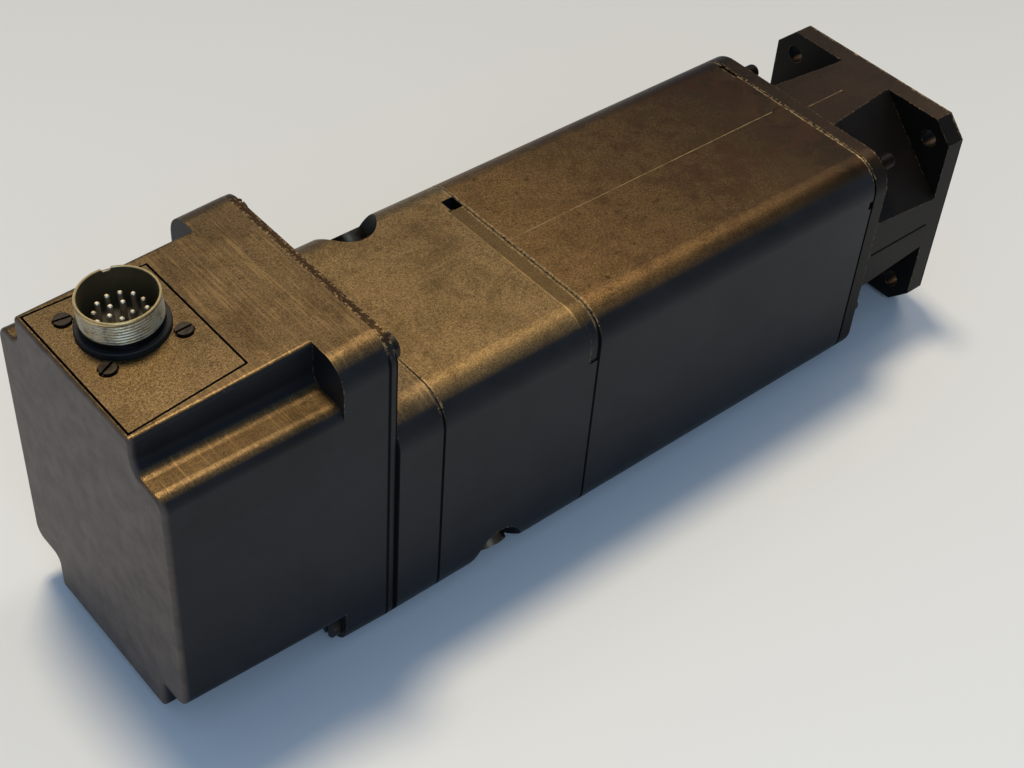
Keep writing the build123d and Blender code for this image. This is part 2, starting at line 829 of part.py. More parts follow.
# Rubber ring round the foot of the collar
with BuildPart() as connector_base_ring:
    with BuildSketch(connector_plane.offset(-ring_seat_depth)):
        Circle(base_ring_radius)
        Circle(shell_neck_radius + press_gap, mode=Mode.SUBTRACT)
    extrude(amount=base_ring_height + ring_seat_depth)
    chamfer(edges().sort_by(SortBy.LENGTH)[-2:].sort_by(Axis.Z)[-1], length=rim_chamfer)
connector_base_ring.part.label = "connector_base_ring"
export_step(connector_base_ring.part, "parts/connector_base_ring.step")


def slotted_screws(seats, head_radius, head_height, shank_radius, shank_length, slot_width):
    """Cheese-head screws; each seat is a plane under the head that faces out of the head."""
    for seat_plane in seats:
        with BuildSketch(seat_plane.offset(-shank_length)) as shank:
            Circle(shank_radius)
        extrude(shank.sketch, amount=shank_length)
        with BuildSketch(seat_plane) as head:
            Circle(head_radius)
        extrude(head.sketch, amount=head_height)
        with BuildSketch(seat_plane.offset(head_height)) as slot:
            Rectangle(2 * head_radius, slot_width)
        extrude(slot.sketch, amount=-head_height / 2, mode=Mode.SUBTRACT)


def socket_screws(seats, head_radius, head_height, shank_radius, shank_length):
    """Socket-head screws, on seats as above."""
    for seat_plane in seats:
        with BuildSketch(seat_plane.offset(-shank_length)) as shank:
            Circle(shank_radius)
        extrude(shank.sketch, amount=shank_length)
        with BuildSketch(seat_plane) as head:
            Circle(head_radius)
        extrude(head.sketch, amount=head_height)
        with BuildSketch(seat_plane.offset(head_height)) as socket:
            RegularPolygon(shank_radius * socket_share, side_count=6)
        extrude(socket.sketch, amount=-head_height / 2, mode=Mode.SUBTRACT)


def backward_seats(x, places):
    """Seats that face the rear at the given (y, z) places."""
    return [Plane((x, y, z), x_dir=(0, 0, 1), z_dir=(-1, 0, 0)) for y, z in places]


def forward_seats(x, places):
    """Seats that face the front at the given (y, z) places."""
    return [Plane((x, y, z), x_dir=(0, 0, 1), z_dir=(1, 0, 0)) for y, z in places]


with BuildPart() as connector_screws:
    for (x, y), slot_angle in zip(connector_screw_places, connector_slot_angles):
        along, aside = cos(radians(slot_angle)), sin(radians(slot_angle))
        screw_seat = Plane(
            connector_plane.from_local_coords((x, y, -screw_seat_depth)),
            x_dir=(along, aside, along * top_slope),
            z_dir=connector_plane.z_dir,
        )
        slotted_screws(
            [screw_seat],
            connector_screw_head_radius,
            connector_screw_head_height,
            connector_screw_radius,
            -screw_seat_depth - flange_bottom,
            connector_screw_slot,
        )
connector_screws.part.label = "connector_screws"
export_step(connector_screws.part, "parts/connector_screws.step")

with BuildPart() as cover_screws:
    for seats, length in (
        (forward_seats(shield_back, upper_screw_places), rim_plate_thickness + upper_cover_screw_reach),
        (
            backward_seats(band_back, lower_screw_places),
            shield_back + lower_cover_screw_reach - band_back,
        ),
    ):
        slotted_screws(
            seats,
            cover_screw_head_radius,
            cover_screw_head_height,
            cover_screw_radius,
            length,
            cover_screw_slot,
        )
cover_screws.part.label = "cover_screws"
export_step(cover_screws.part, "parts/cover_screws.step")

with BuildPart() as rear_shield_screws:
    socket_screws(
        backward_seats(shield_back + shield_screw_head_height + bolt_gap, shield_screw_places),
        shield_screw_head_radius,
        shield_screw_head_height,
        shield_screw_radius,
        rear_shield_thickness - shield_screw_head_height - bolt_gap + shield_screw_reach,
    )
rear_shield_screws.part.label = "rear_shield_screws"
export_step(rear_shield_screws.part, "parts/rear_shield_screws.step")

with BuildPart() as rim_plate_screws:
    for y, z in rim_screw_places:
        with BuildSketch(Plane((rim_back, y, z), x_dir=(0, 1, 0), z_dir=(1, 0, 0))):
            Circle(rim_screw_head_radius)
        extrude(amount=rim_screw_head_radius - rim_screw_radius, taper=countersink_angle / 2)
    round_bars(rim_screw_places, rim_screw_radius, shield_back + rim_screw_reach, rim_back)
rim_plate_screws.part.label = "rim_plate_screws"
export_step(rim_plate_screws.part, "parts/rim_plate_screws.step")

with BuildPart() as bearing_retainer_screws:
    slotted_screws(
        backward_seats(front_bearing_back - retainer_thickness, retainer_screw_places),
        retainer_screw_head_radius,
        retainer_screw_head_height,
        retainer_screw_radius,
        retainer_thickness + retainer_screw_reach,
        cover_screw_slot,
    )
bearing_retainer_screws.part.label = "bearing_retainer_screws"
export_step(bearing_retainer_screws.part, "parts/bearing_retainer_screws.step")

# Tie studs with washers and nuts; they clamp the stator between the front plate and the brush housing
with BuildPart() as tie_studs:
    round_bars(
        stud_places, stud_radius, neck_back + stud_end_length, stator_back - stud_length_in_brush_housing
    )
    fillet(edges().group_by(Axis.X)[-1], radius=stud_end_rounding)
tie_studs.part.label = "tie_studs"
export_step(tie_studs.part, "parts/tie_studs.step")

with BuildPart() as tie_stud_washers:
    with BuildSketch(Plane.YZ.offset(neck_back)):
        with Locations(*stud_places):
            Circle(washer_radius)
            Circle(stud_radius + bolt_gap, mode=Mode.SUBTRACT)
    extrude(amount=washer_thickness)
tie_stud_washers.part.label = "tie_stud_washers"
export_step(tie_stud_washers.part, "parts/tie_stud_washers.step")

with BuildPart() as tie_stud_nuts:
    for y, z in stud_places:
        seat_plane = Plane((neck_back + washer_thickness, y, z), x_dir=(0, y, z), z_dir=(1, 0, 0))
        with BuildSketch(seat_plane):
            RegularPolygon(nut_width / 2, side_count=6, major_radius=False, rotation=nut_turn)
            Circle(stud_radius + press_gap, mode=Mode.SUBTRACT)
        extrude(amount=nut_height)
tie_stud_nuts.part.label = "tie_stud_nuts"
export_step(tie_stud_nuts.part, "parts/tie_stud_nuts.step")


def revolved(points):
    """Turned piece about the axis, from an outline of (x, radius) points."""
    with BuildSketch(Plane.XZ) as section:
        with BuildLine():
            Polyline(*points, close=True)
        make_face()
    revolve(section.sketch, axis=Axis.X)


# Ball bearings: each has an outer ring, an inner ring, a set of balls and a cage
def bearing_sizes(bore_radius, outer_radius):
    """Pitch radius, ball radius and the two ring shoulders of a deep-groove bearing."""
    section = outer_radius - bore_radius
    pitch = bore_radius + section / 2
    ball = section * ball_share_of_section / 2
    return pitch, ball, pitch - ball * shoulder_share, pitch + ball * shoulder_share


for place, bearing_front, bearing_width, bore_radius, outer_radius in (
    (
        "front",
        front_bearing_front,
        front_bearing_width,
        front_journal_radius,
        front_bearing_outer_radius,
    ),
    (
        "rear",
        rear_bearing_front,
        rear_bearing_width,
        rear_journal_radius,
        rear_bearing_outer_radius,
    ),
):
    pitch, ball, inner_shoulder, outer_shoulder = bearing_sizes(bore_radius, outer_radius)
    bearing_back = bearing_front - bearing_width
    middle = (bearing_front + bearing_back) / 2
    for ring, low, high in (
        ("outer", outer_shoulder, outer_radius),
        ("inner", bore_radius + press_gap, inner_shoulder),
    ):
        with BuildPart() as bearing_ring:
            with BuildSketch(Plane.XZ):
                with Locations((middle, (low + high) / 2)):
                    Rectangle(bearing_width, high - low)
                with Locations((middle, pitch)):
                    Circle(ball + groove_gap, mode=Mode.SUBTRACT)
            revolve(axis=Axis.X)
        bearing_ring.part.label = f"{place}_bearing_{ring}_ring"
        export_step(bearing_ring.part, f"parts/{place}_bearing_{ring}_ring.step")

    with BuildPart() as bearing_balls:
        with Locations(*[(middle, y, z) for y, z in on_circle(pitch, ball_count)]):
            Sphere(ball)
    bearing_balls.part.label = f"{place}_bearing_balls"
    export_step(bearing_balls.part, f"parts/{place}_bearing_balls.step")

    with BuildPart() as bearing_cage:
        cage_width = 2 * (ball + pocket_gap + cage_rib)
        with BuildSketch(Plane.YZ.offset(middle - cage_width / 2)):
            Circle(pitch + cage_thickness / 2)
            Circle(pitch - cage_thickness / 2, mode=Mode.SUBTRACT)
        extrude(amount=cage_width)
        for y, z in on_circle(1, ball_count):
            with BuildSketch(Plane((middle, 0, 0), x_dir=(1, 0, 0), z_dir=(0, y, z))):
                Circle(ball + pocket_gap)
            extrude(amount=outer_radius, mode=Mode.SUBTRACT)
    bearing_cage.part.label = f"{place}_bearing_cage"
    export_step(bearing_cage.part, f"parts/{place}_bearing_cage.step")

front_outer_shoulder = bearing_sizes(front_journal_radius, front_bearing_outer_radius)[3]
rear_outer_shoulder = bearing_sizes(rear_journal_radius, rear_bearing_outer_radius)[3]

# Retainer: a flat ring that holds the front bearing in the end shield
with BuildPart() as bearing_retainer:
    with BuildSketch(Plane.YZ.offset(front_bearing_back - retainer_thickness)):
        Circle(retainer_radius)
        Circle(front_outer_shoulder, mode=Mode.SUBTRACT)
        with Locations(*retainer_screw_places):
            Circle(retainer_screw_radius + bolt_gap, mode=Mode.SUBTRACT)
    extrude(amount=retainer_thickness)
bearing_retainer.part.label = "bearing_retainer"
export_step(bearing_retainer.part, "parts/bearing_retainer.step")

# Disc spring that preloads the rear bearing's outer ring
with BuildPart() as preload_spring:
    revolved(
        [
            (rear_bearing_seat_end + press_gap, rear_bearing_outer_radius - press_gap),
            (rear_bearing_seat_end + press_gap + preload_sheet, rear_bearing_outer_radius - press_gap),
            (rear_bearing_back - press_gap, rear_outer_shoulder + press_gap),
            (rear_bearing_back - press_gap - preload_sheet, rear_outer_shoulder + press_gap),
        ]
    )
preload_spring.part.label = "preload_spring"
export_step(preload_spring.part, "parts/preload_spring.step")

# Shaft seal: a rubber-covered ring, open to the front, with its lip on the shaft
with BuildPart() as shaft_seal:
    seal_front = -seal_setback
    seal_back = seal_front - seal_width
    lip_radius = front_journal_radius + running_gap
    revolved(
        [
            (seal_front, seal_radius),
            (seal_back, seal_radius),
            (seal_back, lip_radius + seal_wall),
            (seal_back + seal_lip_width, lip_radius),
            (seal_back + 2 * seal_lip_width, lip_radius + seal_wall / 2),
            (seal_back + seal_wall, lip_radius + 2 * seal_wall),
            (seal_back + seal_wall, seal_radius - seal_wall),
            (seal_front, seal_radius - seal_wall),
        ]
    )
shaft_seal.part.label = "shaft_seal"
export_step(shaft_seal.part, "parts/shaft_seal.step")

# Circlip in front of the bearing's inner ring
circlip_back = front_bearing_front + press_gap
circlip_front = circlip_back + circlip_thickness
with BuildPart() as circlip:
    with BuildSketch(Plane.YZ.offset(circlip_back)):
        Circle(front_journal_radius + circlip_height)
        Circle(front_journal_radius - circlip_groove_depth + press_gap, mode=Mode.SUBTRACT)
        with Locations((0, -front_journal_radius)):
            Rectangle(circlip_opening, 2 * circlip_height + circlip_opening, mode=Mode.SUBTRACT)
    extrude(amount=circlip_thickness)
circlip.part.label = "circlip"
export_step(circlip.part, "parts/circlip.step")

# Shaft: turned steel with a plain front end, a circlip groove, bearing seats and a tail for the tacho
tail_back = tacho_rotor_back - shaft_chamfer
groove_radius = front_journal_radius - circlip_groove_depth
with BuildPart() as shaft:
    revolved(
        [
            (tail_back, 0),
            (tail_back, tail_radius - shaft_chamfer / 2),
            (tail_back + shaft_chamfer / 2, tail_radius),
            (rear_bearing_back - shaft_chamfer, tail_radius),
            (rear_bearing_back - shaft_chamfer, rear_journal_radius),
            (rear_bearing_front, rear_journal_radius),
            (rear_bearing_front, commutator_seat_radius),
            (commutator_front + hub_overhang, commutator_seat_radius),
            (commutator_front + hub_overhang, shaft_body_radius),
            (front_bearing_back, shaft_body_radius),
            (front_bearing_back, front_journal_radius),
            (circlip_back - press_gap, front_journal_radius),
            (circlip_back - press_gap, groove_radius),
            (circlip_front + press_gap, groove_radius),
            (circlip_front + press_gap, front_journal_radius),
            (0, front_journal_radius),
            (0, shaft_end_radius),
            (shaft_end_length - shaft_chamfer, shaft_end_radius),
            (shaft_end_length, shaft_end_radius - shaft_chamfer),
            (shaft_end_length, 0),
        ]
    )
    with Locations(Plane((shaft_end_length, 0, 0), z_dir=(1, 0, 0))):
        CounterSinkHole(
            centre_hole_radius,
            centre_countersink_radius,
            depth=centre_hole_depth,
            counter_sink_angle=centre_countersink_angle,
        )
shaft.part.label = "shaft"
export_step(shaft.part, "parts/shaft.step")

# Armature: slotted lamination stack and the windings that fill its slots
with BuildPart() as armature_core:
    with BuildSketch(Plane.YZ.offset(core_back)):
        Circle(core_radius)
        Circle(shaft_body_radius + press_gap, mode=Mode.SUBTRACT)
        with PolarLocations(core_radius - slot_depth, slot_count):
            Rectangle(
                slot_depth + slot_width, slot_width, align=(Align.MIN, Align.CENTER), mode=Mode.SUBTRACT
            )
    extrude(amount=core_length)
armature_core.part.label = "armature_core"
export_step(armature_core.part, "parts/armature_core.step")

with BuildPart() as armature_windings:
    with BuildSketch(Plane.YZ.offset(winding_back)):
        with PolarLocations(core_radius - slot_depth + slot_liner, slot_count):
            Rectangle(
                slot_depth - 2 * slot_liner, slot_width - 2 * slot_liner, align=(Align.MIN, Align.CENTER)
            )
    extrude(amount=winding_front - winding_back)
    for front, back in (
        (winding_front, core_front + slot_liner),
        (core_back - slot_liner, winding_back),
    ):
        with BuildSketch(Plane.YZ.offset(back)):
            Circle(core_radius - slot_liner)
            Circle(end_turn_inner_radius, mode=Mode.SUBTRACT)
        extrude(amount=front - back)
armature_windings.part.label = "armature_windings"
export_step(armature_windings.part, "parts/armature_windings.step")

# Commutator: copper bars with grooves between them, on an insulating hub
with BuildPart() as commutator:
    with BuildSketch(Plane.YZ.offset(commutator_back)):
        Circle(commutator_radius)
        Circle(commutator_bore_radius, mode=Mode.SUBTRACT)
        with PolarLocations(commutator_radius - bar_gap_depth, bar_count):
            Rectangle(
                2 * bar_gap_depth, bar_gap, align=(Align.MIN, Align.CENTER), mode=Mode.SUBTRACT
            )
    extrude(amount=commutator_length)
    with BuildSketch(Plane.YZ.offset(commutator_front)):
        Circle(commutator_radius + riser_height)
        Circle(commutator_bore_radius, mode=Mode.SUBTRACT)
    extrude(amount=-riser_width)
commutator.part.label = "commutator"
export_step(commutator.part, "parts/commutator.step")

with BuildPart() as commutator_hub:
    with BuildSketch(Plane.YZ.offset(commutator_back - hub_overhang)):
        Circle(commutator_bore_radius - press_gap)
        Circle(commutator_seat_radius + press_gap, mode=Mode.SUBTRACT)
    extrude(amount=commutator_length + 2 * hub_overhang - press_gap)
commutator_hub.part.label = "commutator_hub"
export_step(commutator_hub.part, "parts/commutator_hub.step")

# Tachogenerator: a flanged cup with a ring magnet on the rim plate and a rotor on the shaft's tail
tacho_bore = tacho_radius - tacho_wall
with BuildPart() as tacho_housing:
    revolved(
        [
            (rim_back, tacho_bore),
            (rim_back, tacho_flange_radius),
            (rim_back - tacho_flange_thickness, tacho_flange_radius),
            (rim_back - tacho_flange_thickness, tacho_radius),
            (tacho_back, tacho_radius),
            (tacho_back, 0),
            (tacho_back + tacho_wall, 0),
            (tacho_back + tacho_wall, tacho_bore),
        ]
    )
    round_bars(
        tacho_screw_places,
        tacho_screw_radius + seat_gap,
        rim_back,
        rim_back - tacho_flange_thickness,
        Mode.SUBTRACT,
    )
tacho_housing.part.label = "tacho_housing"
export_step(tacho_housing.part, "parts/tacho_housing.step")

with BuildPart() as tacho_magnet:
    with BuildSketch(Plane.YZ.offset(tacho_rotor_back)):
        Circle(tacho_bore - press_gap)
        Circle(tacho_bore - tacho_magnet_thickness, mode=Mode.SUBTRACT)
    extrude(amount=tacho_rotor_length)
tacho_magnet.part.label = "tacho_magnet"
export_step(tacho_magnet.part, "parts/tacho_magnet.step")

with BuildPart() as tacho_rotor:
    with BuildSketch(Plane.YZ.offset(tacho_rotor_back)):
        Circle(tacho_bore - tacho_magnet_thickness - tacho_gap)
        Circle(tail_radius + press_gap, mode=Mode.SUBTRACT)
    extrude(amount=tacho_rotor_length)
tacho_rotor.part.label = "tacho_rotor"
export_step(tacho_rotor.part, "parts/tacho_rotor.step")

with BuildPart() as tacho_screws:
    slotted_screws(
        backward_seats(rim_back - tacho_flange_thickness, tacho_screw_places),
        tacho_screw_head_radius,
        tacho_screw_head_height,
        tacho_screw_radius,
        tacho_flange_thickness + tacho_screw_reach,
        connector_screw_slot,
    )
tacho_screws.part.label = "tacho_screws"
export_step(tacho_screws.part, "parts/tacho_screws.step")
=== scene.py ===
import json
import math
from collections import namedtuple

import bmesh
import bpy
from mathutils import Matrix, Vector


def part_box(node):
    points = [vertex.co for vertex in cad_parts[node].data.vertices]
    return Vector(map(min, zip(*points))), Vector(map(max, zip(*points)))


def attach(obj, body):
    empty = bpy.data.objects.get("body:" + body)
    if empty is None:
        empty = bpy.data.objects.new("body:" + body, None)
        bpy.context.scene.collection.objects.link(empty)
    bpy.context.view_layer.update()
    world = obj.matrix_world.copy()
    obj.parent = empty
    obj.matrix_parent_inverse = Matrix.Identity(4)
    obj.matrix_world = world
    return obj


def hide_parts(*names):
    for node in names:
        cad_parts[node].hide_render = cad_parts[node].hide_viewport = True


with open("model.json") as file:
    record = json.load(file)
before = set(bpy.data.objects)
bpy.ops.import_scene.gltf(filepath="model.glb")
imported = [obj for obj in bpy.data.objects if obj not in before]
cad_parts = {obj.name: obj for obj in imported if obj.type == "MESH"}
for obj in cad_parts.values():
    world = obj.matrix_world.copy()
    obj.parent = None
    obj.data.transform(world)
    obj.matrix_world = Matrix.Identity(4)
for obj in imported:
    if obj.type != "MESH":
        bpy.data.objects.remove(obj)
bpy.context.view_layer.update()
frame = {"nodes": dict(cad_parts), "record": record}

# Lengths are in metres, in the motor's own frame: the origin is the centre of the flange's mounting
# face, +X runs out along the shaft and +Z is up
MM = 0.001
FLOOR_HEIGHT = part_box("stator_housing")[0].z

# Stations of X where the castings meet
FLANGE_FACE = 0.0
STATOR_FRONT = -0.0535
STATOR_REAR = -0.1905
REAR_SHIELD_FRONT = -0.256
RIM_PLATE_FRONT = -0.2740
COVER_FRONT = -0.2768

# Colours, as linear red, green and blue
BLACK_PAINT = (0.0080, 0.0085, 0.0098)
BROWN_BLACK_PAINT = (0.0060, 0.0050, 0.0044)
# Browns used only on the faces that look up, under their gold: undercoat and part of the painted sheen of
# the lamp overhead
UNDERCOAT_AND_SHEEN_DARK = (0.010, 0.006, 0.004)
UNDERCOAT_AND_SHEEN_LIGHT = (0.026, 0.015, 0.007)
SEAM_AND_SHADOW_BLACK = (0.0012, 0.0011, 0.0011)
# Black of the seams' dark lines, and of the painted shadow line in the neck's step
RUST = (0.055, 0.022, 0.009)
# Bare metal of the worn edges, chips and scratch, also used for the painted highlight of the neck's ridge
BARE_METAL_AND_HIGHLIGHT = (0.42, 0.29, 0.14)


# Small helpers for node trees

def add_node(tree, kind, **settings):
    """A shader node of the given kind, with its own settings filled in."""
    node = tree.nodes.new("ShaderNode" + kind)
    for name, value in settings.items():
        setattr(node, name, value)
    return node


def set_inputs(node, **values):
    """Fill in a node's input values by name; an underscore in the name stands for a space."""
    for name, value in values.items():
        node.inputs[name.replace("_", " ")].default_value = value
    return node


def feed(tree, target, value):
    """Link a socket to an input, or fill in a plain value."""
    if isinstance(value, bpy.types.NodeSocket):
        tree.links.new(value, target)
    else:
        target.default_value = value


def math_node(tree, operation, *values, clamp=False):
    """One arithmetic step on sockets or plain numbers."""
    node = add_node(tree, "Math", operation=operation, use_clamp=clamp)
    for target, value in zip(node.inputs, values):
        feed(tree, target, value)
    return node.outputs[0]


def product(tree, first, *others):
    """Several values multiplied with one another."""
    for other in others:
        first = math_node(tree, "MULTIPLY", first, other)
    return first


def distance_from(tree, value, target):
    """How far a value lies from a target, on either side."""
    return math_node(tree, "ABSOLUTE", math_node(tree, "SUBTRACT", value, target))


def within(tree, value, low, high):
    """Mask of the stretch between two limits."""
    return product(
        tree, math_node(tree, "GREATER_THAN", value, low), math_node(tree, "LESS_THAN", value, high)
    )


def vector_math(tree, operation, *values, output="Vector"):
    """One step on vectors; the length and the dot product come out as the Value."""
    node = add_node(tree, "VectorMath", operation=operation)
    for target, value in zip(node.inputs, values):
        feed(tree, target, value)
    return node.outputs[output]


def split(tree, vector):
    """A vector's X, Y and Z."""
    parts = add_node(tree, "SeparateXYZ")
    tree.links.new(vector, parts.inputs[0])
    return parts.outputs["X"], parts.outputs["Y"], parts.outputs["Z"]


def remap(tree, value, low, high, to_low=0.0, to_high=1.0, smooth=True):
    """Stretch a value from one range to another, held at its ends."""
    node = add_node(tree, "MapRange", clamp=True)
    node.interpolation_type = "SMOOTHSTEP" if smooth else "LINEAR"
    names = ("Value", "From Min", "From Max", "To Min", "To Max")
    for name, number in zip(names, (value, low, high, to_low, to_high)):
        feed(tree, node.inputs[name], number)
    return node.outputs["Result"]


def mix_colour(tree, factor, a, b):
    """Blend two colours; each is a socket or an RGB triple."""
    node = add_node(tree, "Mix", data_type="RGBA")
    feed(tree, node.inputs[0], factor)
    for target, value in ((node.inputs[6], a), (node.inputs[7], b)):
        feed(tree, target, value if isinstance(value, bpy.types.NodeSocket) else (*value, 1.0))
    return node.outputs[2]


def mix_value(tree, factor, a, b):
    """Blend two numbers; each is a socket or a plain number."""
    node = add_node(tree, "Mix", data_type="FLOAT")
    for target, value in zip((node.inputs[0], node.inputs[2], node.inputs[3]), (factor, a, b)):
        feed(tree, target, value)
    return node.outputs[0]


def shade(colour, factor):
    """The same colour, lighter or darker."""
    return [factor * part for part in colour]


def noise(tree, position, scale, detail=2.0, roughness=0.5, distortion=0.0):
    """Soft random pattern; scale is in repeats per metre."""
    node = add_node(tree, "TexNoise")
    set_inputs(node, Detail=detail, Roughness=roughness, Distortion=distortion)
    feed(tree, node.inputs["Scale"], scale)
    tree.links.new(position, node.inputs["Vector"])
    return node.outputs["Fac"]


def highest_parts(tree, pattern, amount, softness):
    """Mask of a pattern's highest parts; a larger amount takes in more of it."""
    level = math_node(tree, "SUBTRACT", 1.0, amount)
    return remap(tree, pattern, level, math_node(tree, "ADD", level, softness))


def object_place(tree):
    """Place on the piece, in metres in the motor's frame."""
    return add_node(tree, "TexCoord").outputs["Object"]


# Effects that several finishes share, each one a node group that is built once

def new_group(name, inputs, outputs):
    """An empty node group with named inputs, with their values, and number outputs."""
    group = bpy.data.node_groups.new(name, "ShaderNodeTree")
    for socket_name, value in inputs.items():
        kind = "NodeSocketVector" if isinstance(value, tuple) else "NodeSocketFloat"
        socket = group.interface.new_socket(name=socket_name, in_out="INPUT", socket_type=kind)
        socket.default_value = value
    for socket_name in outputs:
        group.interface.new_socket(name=socket_name, in_out="OUTPUT", socket_type="NodeSocketFloat")
    return group, group.nodes.new("NodeGroupInput").outputs, group.nodes.new("NodeGroupOutput").inputs


def build_worn_edges():
    """Mask of the places where a sharp outer edge has been rubbed, broken up by noise."""
    group, given, out = new_group(
        "worn edges", {"Width": 0.6 * MM, "Break Up": 900.0, "Amount": 0.5}, ["Mask"]
    )
    rounded = add_node(group, "Bevel", samples=4)
    group.links.new(given["Width"], rounded.inputs["Radius"])
    flat = add_node(group, "NewGeometry")
    alike = vector_math(
        group, "DOT_PRODUCT", rounded.outputs["Normal"], flat.outputs["Normal"], output="Value"
    )
    edge = remap(group, alike, 0.995, 0.88)
    chips = noise(group, object_place(group), given["Break Up"], detail=4.0, roughness=0.65)
    broken = highest_parts(group, chips, given["Amount"], 0.14)
    group.links.new(product(group, edge, broken), out["Mask"])
    return group


def build_facing_up():
    """Mask of the surfaces that look upwards, between two slopes of the surface."""
    group, given, out = new_group("facing up", {"From": 0.35, "To": 0.95}, ["Mask"])
    upwards = split(group, add_node(group, "TexCoord").outputs["Normal"])[2]
    group.links.new(remap(group, upwards, given["From"], given["To"]), out["Mask"])
    return group


def build_grain_and_sparkle():
    """Fine orange peel of rough paint: a value to tint with, partly grain and partly a painted sparkle of
    tiny highlights, and a height to bump with.
    """
    group, given, out = new_group("grain_and_sparkle", {"Fine Scale": 3000.0}, ["Value", "Height"])
    place = object_place(group)
    fine = noise(group, place, given["Fine Scale"], detail=3.0, roughness=0.7)
    coarse = noise(group, place, 1300.0, detail=2.0, roughness=0.7)
    both = mix_value(group, 0.30, fine, coarse)
    group.links.new(remap(group, both, 0.38, 0.66), out["Value"])
    group.links.new(both, out["Height"])
    return group


def build_streaks():
    """Thin rubbed lines along one axis, set by a stretch for each axis."""
    group, given, out = new_group("streaks", {"Stretch": (1.0, 1.0, 1.0)}, ["Mask"])
    place = vector_math(group, "MULTIPLY", object_place(group), given["Stretch"])
    lines = noise(group, place, 1.0, detail=4.0, roughness=0.7)
    group.links.new(remap(group, lines, 0.50, 0.72), out["Mask"])
    return group


def build_seam_chips():
    """Masks along a casting's front and rear edges: the chipped paint and the dark line."""
    group, given, out = new_group(
        "seam chips", {"Front Edge": 0.0, "Rear Edge": -0.1, "Width": 1.2 * MM, "Amount": 0.5},
        ["Mask", "Line"],
    )
    place = object_place(group)
    along = split(group, place)[0]
    gaps = [distance_from(group, along, given[station]) for station in ("Front Edge", "Rear Edge")]
    nearest = math_node(group, "MINIMUM", *gaps)
    group.links.new(remap(group, nearest, 0.70 * MM, 0.42 * MM), out["Line"])
    ragged = product(group, noise(group, place, 420.0, detail=4.0, roughness=0.7), 2.0)
    reach = product(group, given["Width"], ragged)
    near = remap(group, math_node(group, "SUBTRACT", reach, nearest), -0.1 * MM, 0.3 * MM)
    flakes = noise(group, place, 900.0, detail=5.0, roughness=0.7)
    chips = highest_parts(group, flakes, given["Amount"], 0.1)
    group.links.new(product(group, near, chips), out["Mask"])
    return group


WORN_EDGES = build_worn_edges()
FACING_UP = build_facing_up()
GRAIN_AND_SPARKLE = build_grain_and_sparkle()
STREAKS = build_streaks()
SEAM_CHIPS = build_seam_chips()


def use_group(tree, group, **values):
    """Place a shared effect in a material, with this material's own values."""
    node = tree.nodes.new("ShaderNodeGroup")
    node.node_tree = group
    return set_inputs(node, **values).outputs


def new_material(name, **constants):
    """A material with a Principled shader whose constant inputs are filled in."""
    material = bpy.data.materials.new(name)
    material.use_nodes = True
    tree = material.node_tree
    shader = tree.nodes["Principled BSDF"]
    set_inputs(shader, **constants)
    return material, tree, shader


def connect(tree, shader, **values):
    """Feed the shader's changing inputs; an underscore in the name stands for a space."""
    for name, value in values.items():
        tree.links.new(value, shader.inputs[name.replace("_", " ")])


def bump(tree, shader, height, strength, distance):
    """Turn a height into the surface's relief."""
    node = add_node(tree, "Bump")
    set_inputs(node, Strength=strength, Distance=distance)
    tree.links.new(height, node.inputs["Height"])
    tree.links.new(node.outputs["Normal"], shader.inputs["Normal"])


# Layers of the paint on the castings. Each works on the same surface: its node tree, the place on the
# piece, whole and as X, Y and Z, and wide soft clouds

Surface = namedtuple("Surface", "tree place x y z cloud")


def side_paint(on, side, end_face):
    """Black paint in soft clouds, with a paler rear face where one is given: partly dust and partly a
    painted reflection of the lit floor beside it.
    """
    paint = mix_colour(on.tree, remap(on.tree, on.cloud, 0.3, 0.7), side, shade(side, 1.8))
    if end_face:
        station, pale = end_face
        dust = remap(on.tree, noise(on.tree, on.place, 110.0, detail=7.0, roughness=0.68), 0.35, 0.65)
        # The paler rear face: dust, and a painted reflection of the lit floor beside it
        dust_and_floor_reflection = mix_colour(on.tree, dust, shade(pale, 0.72), shade(pale, 1.22))
        at_rear = remap(on.tree, on.x, station + 1.2 * MM, station - 1.2 * MM)
        paint = mix_colour(on.tree, at_rear, paint, dust_and_floor_reflection)
    return paint


def speckled_gold(on, speckle, gold, streaks):
    """The tops' gold, partly wear and partly painted sheen, darker and lighter by the grain and its
    painted sparkle, with rubbed lines where streaks are given.
    """
    bright = [factor * part for factor, part in zip((1.62, 1.66, 1.90), gold)]
    tone = mix_colour(on.tree, speckle, shade(gold, 0.45), bright)
    if streaks:
        lines = use_group(on.tree, STREAKS, Stretch=streaks)["Mask"]
        tone = mix_colour(on.tree, lines, tone, shade(gold, 1.75))
    return tone


def faded(on, tone, gold, fade):
    """The sheen dies away along the piece, with a ragged border."""
    bright_station, dark_station, share_left = fade
    ragged = product(on.tree, math_node(on.tree, "SUBTRACT", on.cloud, 0.5), 0.06)
    along = math_node(on.tree, "ADD", on.x, ragged)
    lost = remap(on.tree, along, bright_station, dark_station, 0.0, 1.0 - share_left, smooth=False)
    return mix_colour(on.tree, lost, tone, shade(gold, 0.05))


def towards_dark_end(on, mask, fade, at_bright, at_dark):
    """Strengthen a mask towards the end where the sheen has died away, on a piece that fades."""
    if not fade:
        return mask
    return product(on.tree, mask, remap(on.tree, on.x, fade[0], fade[1], at_bright, at_dark))


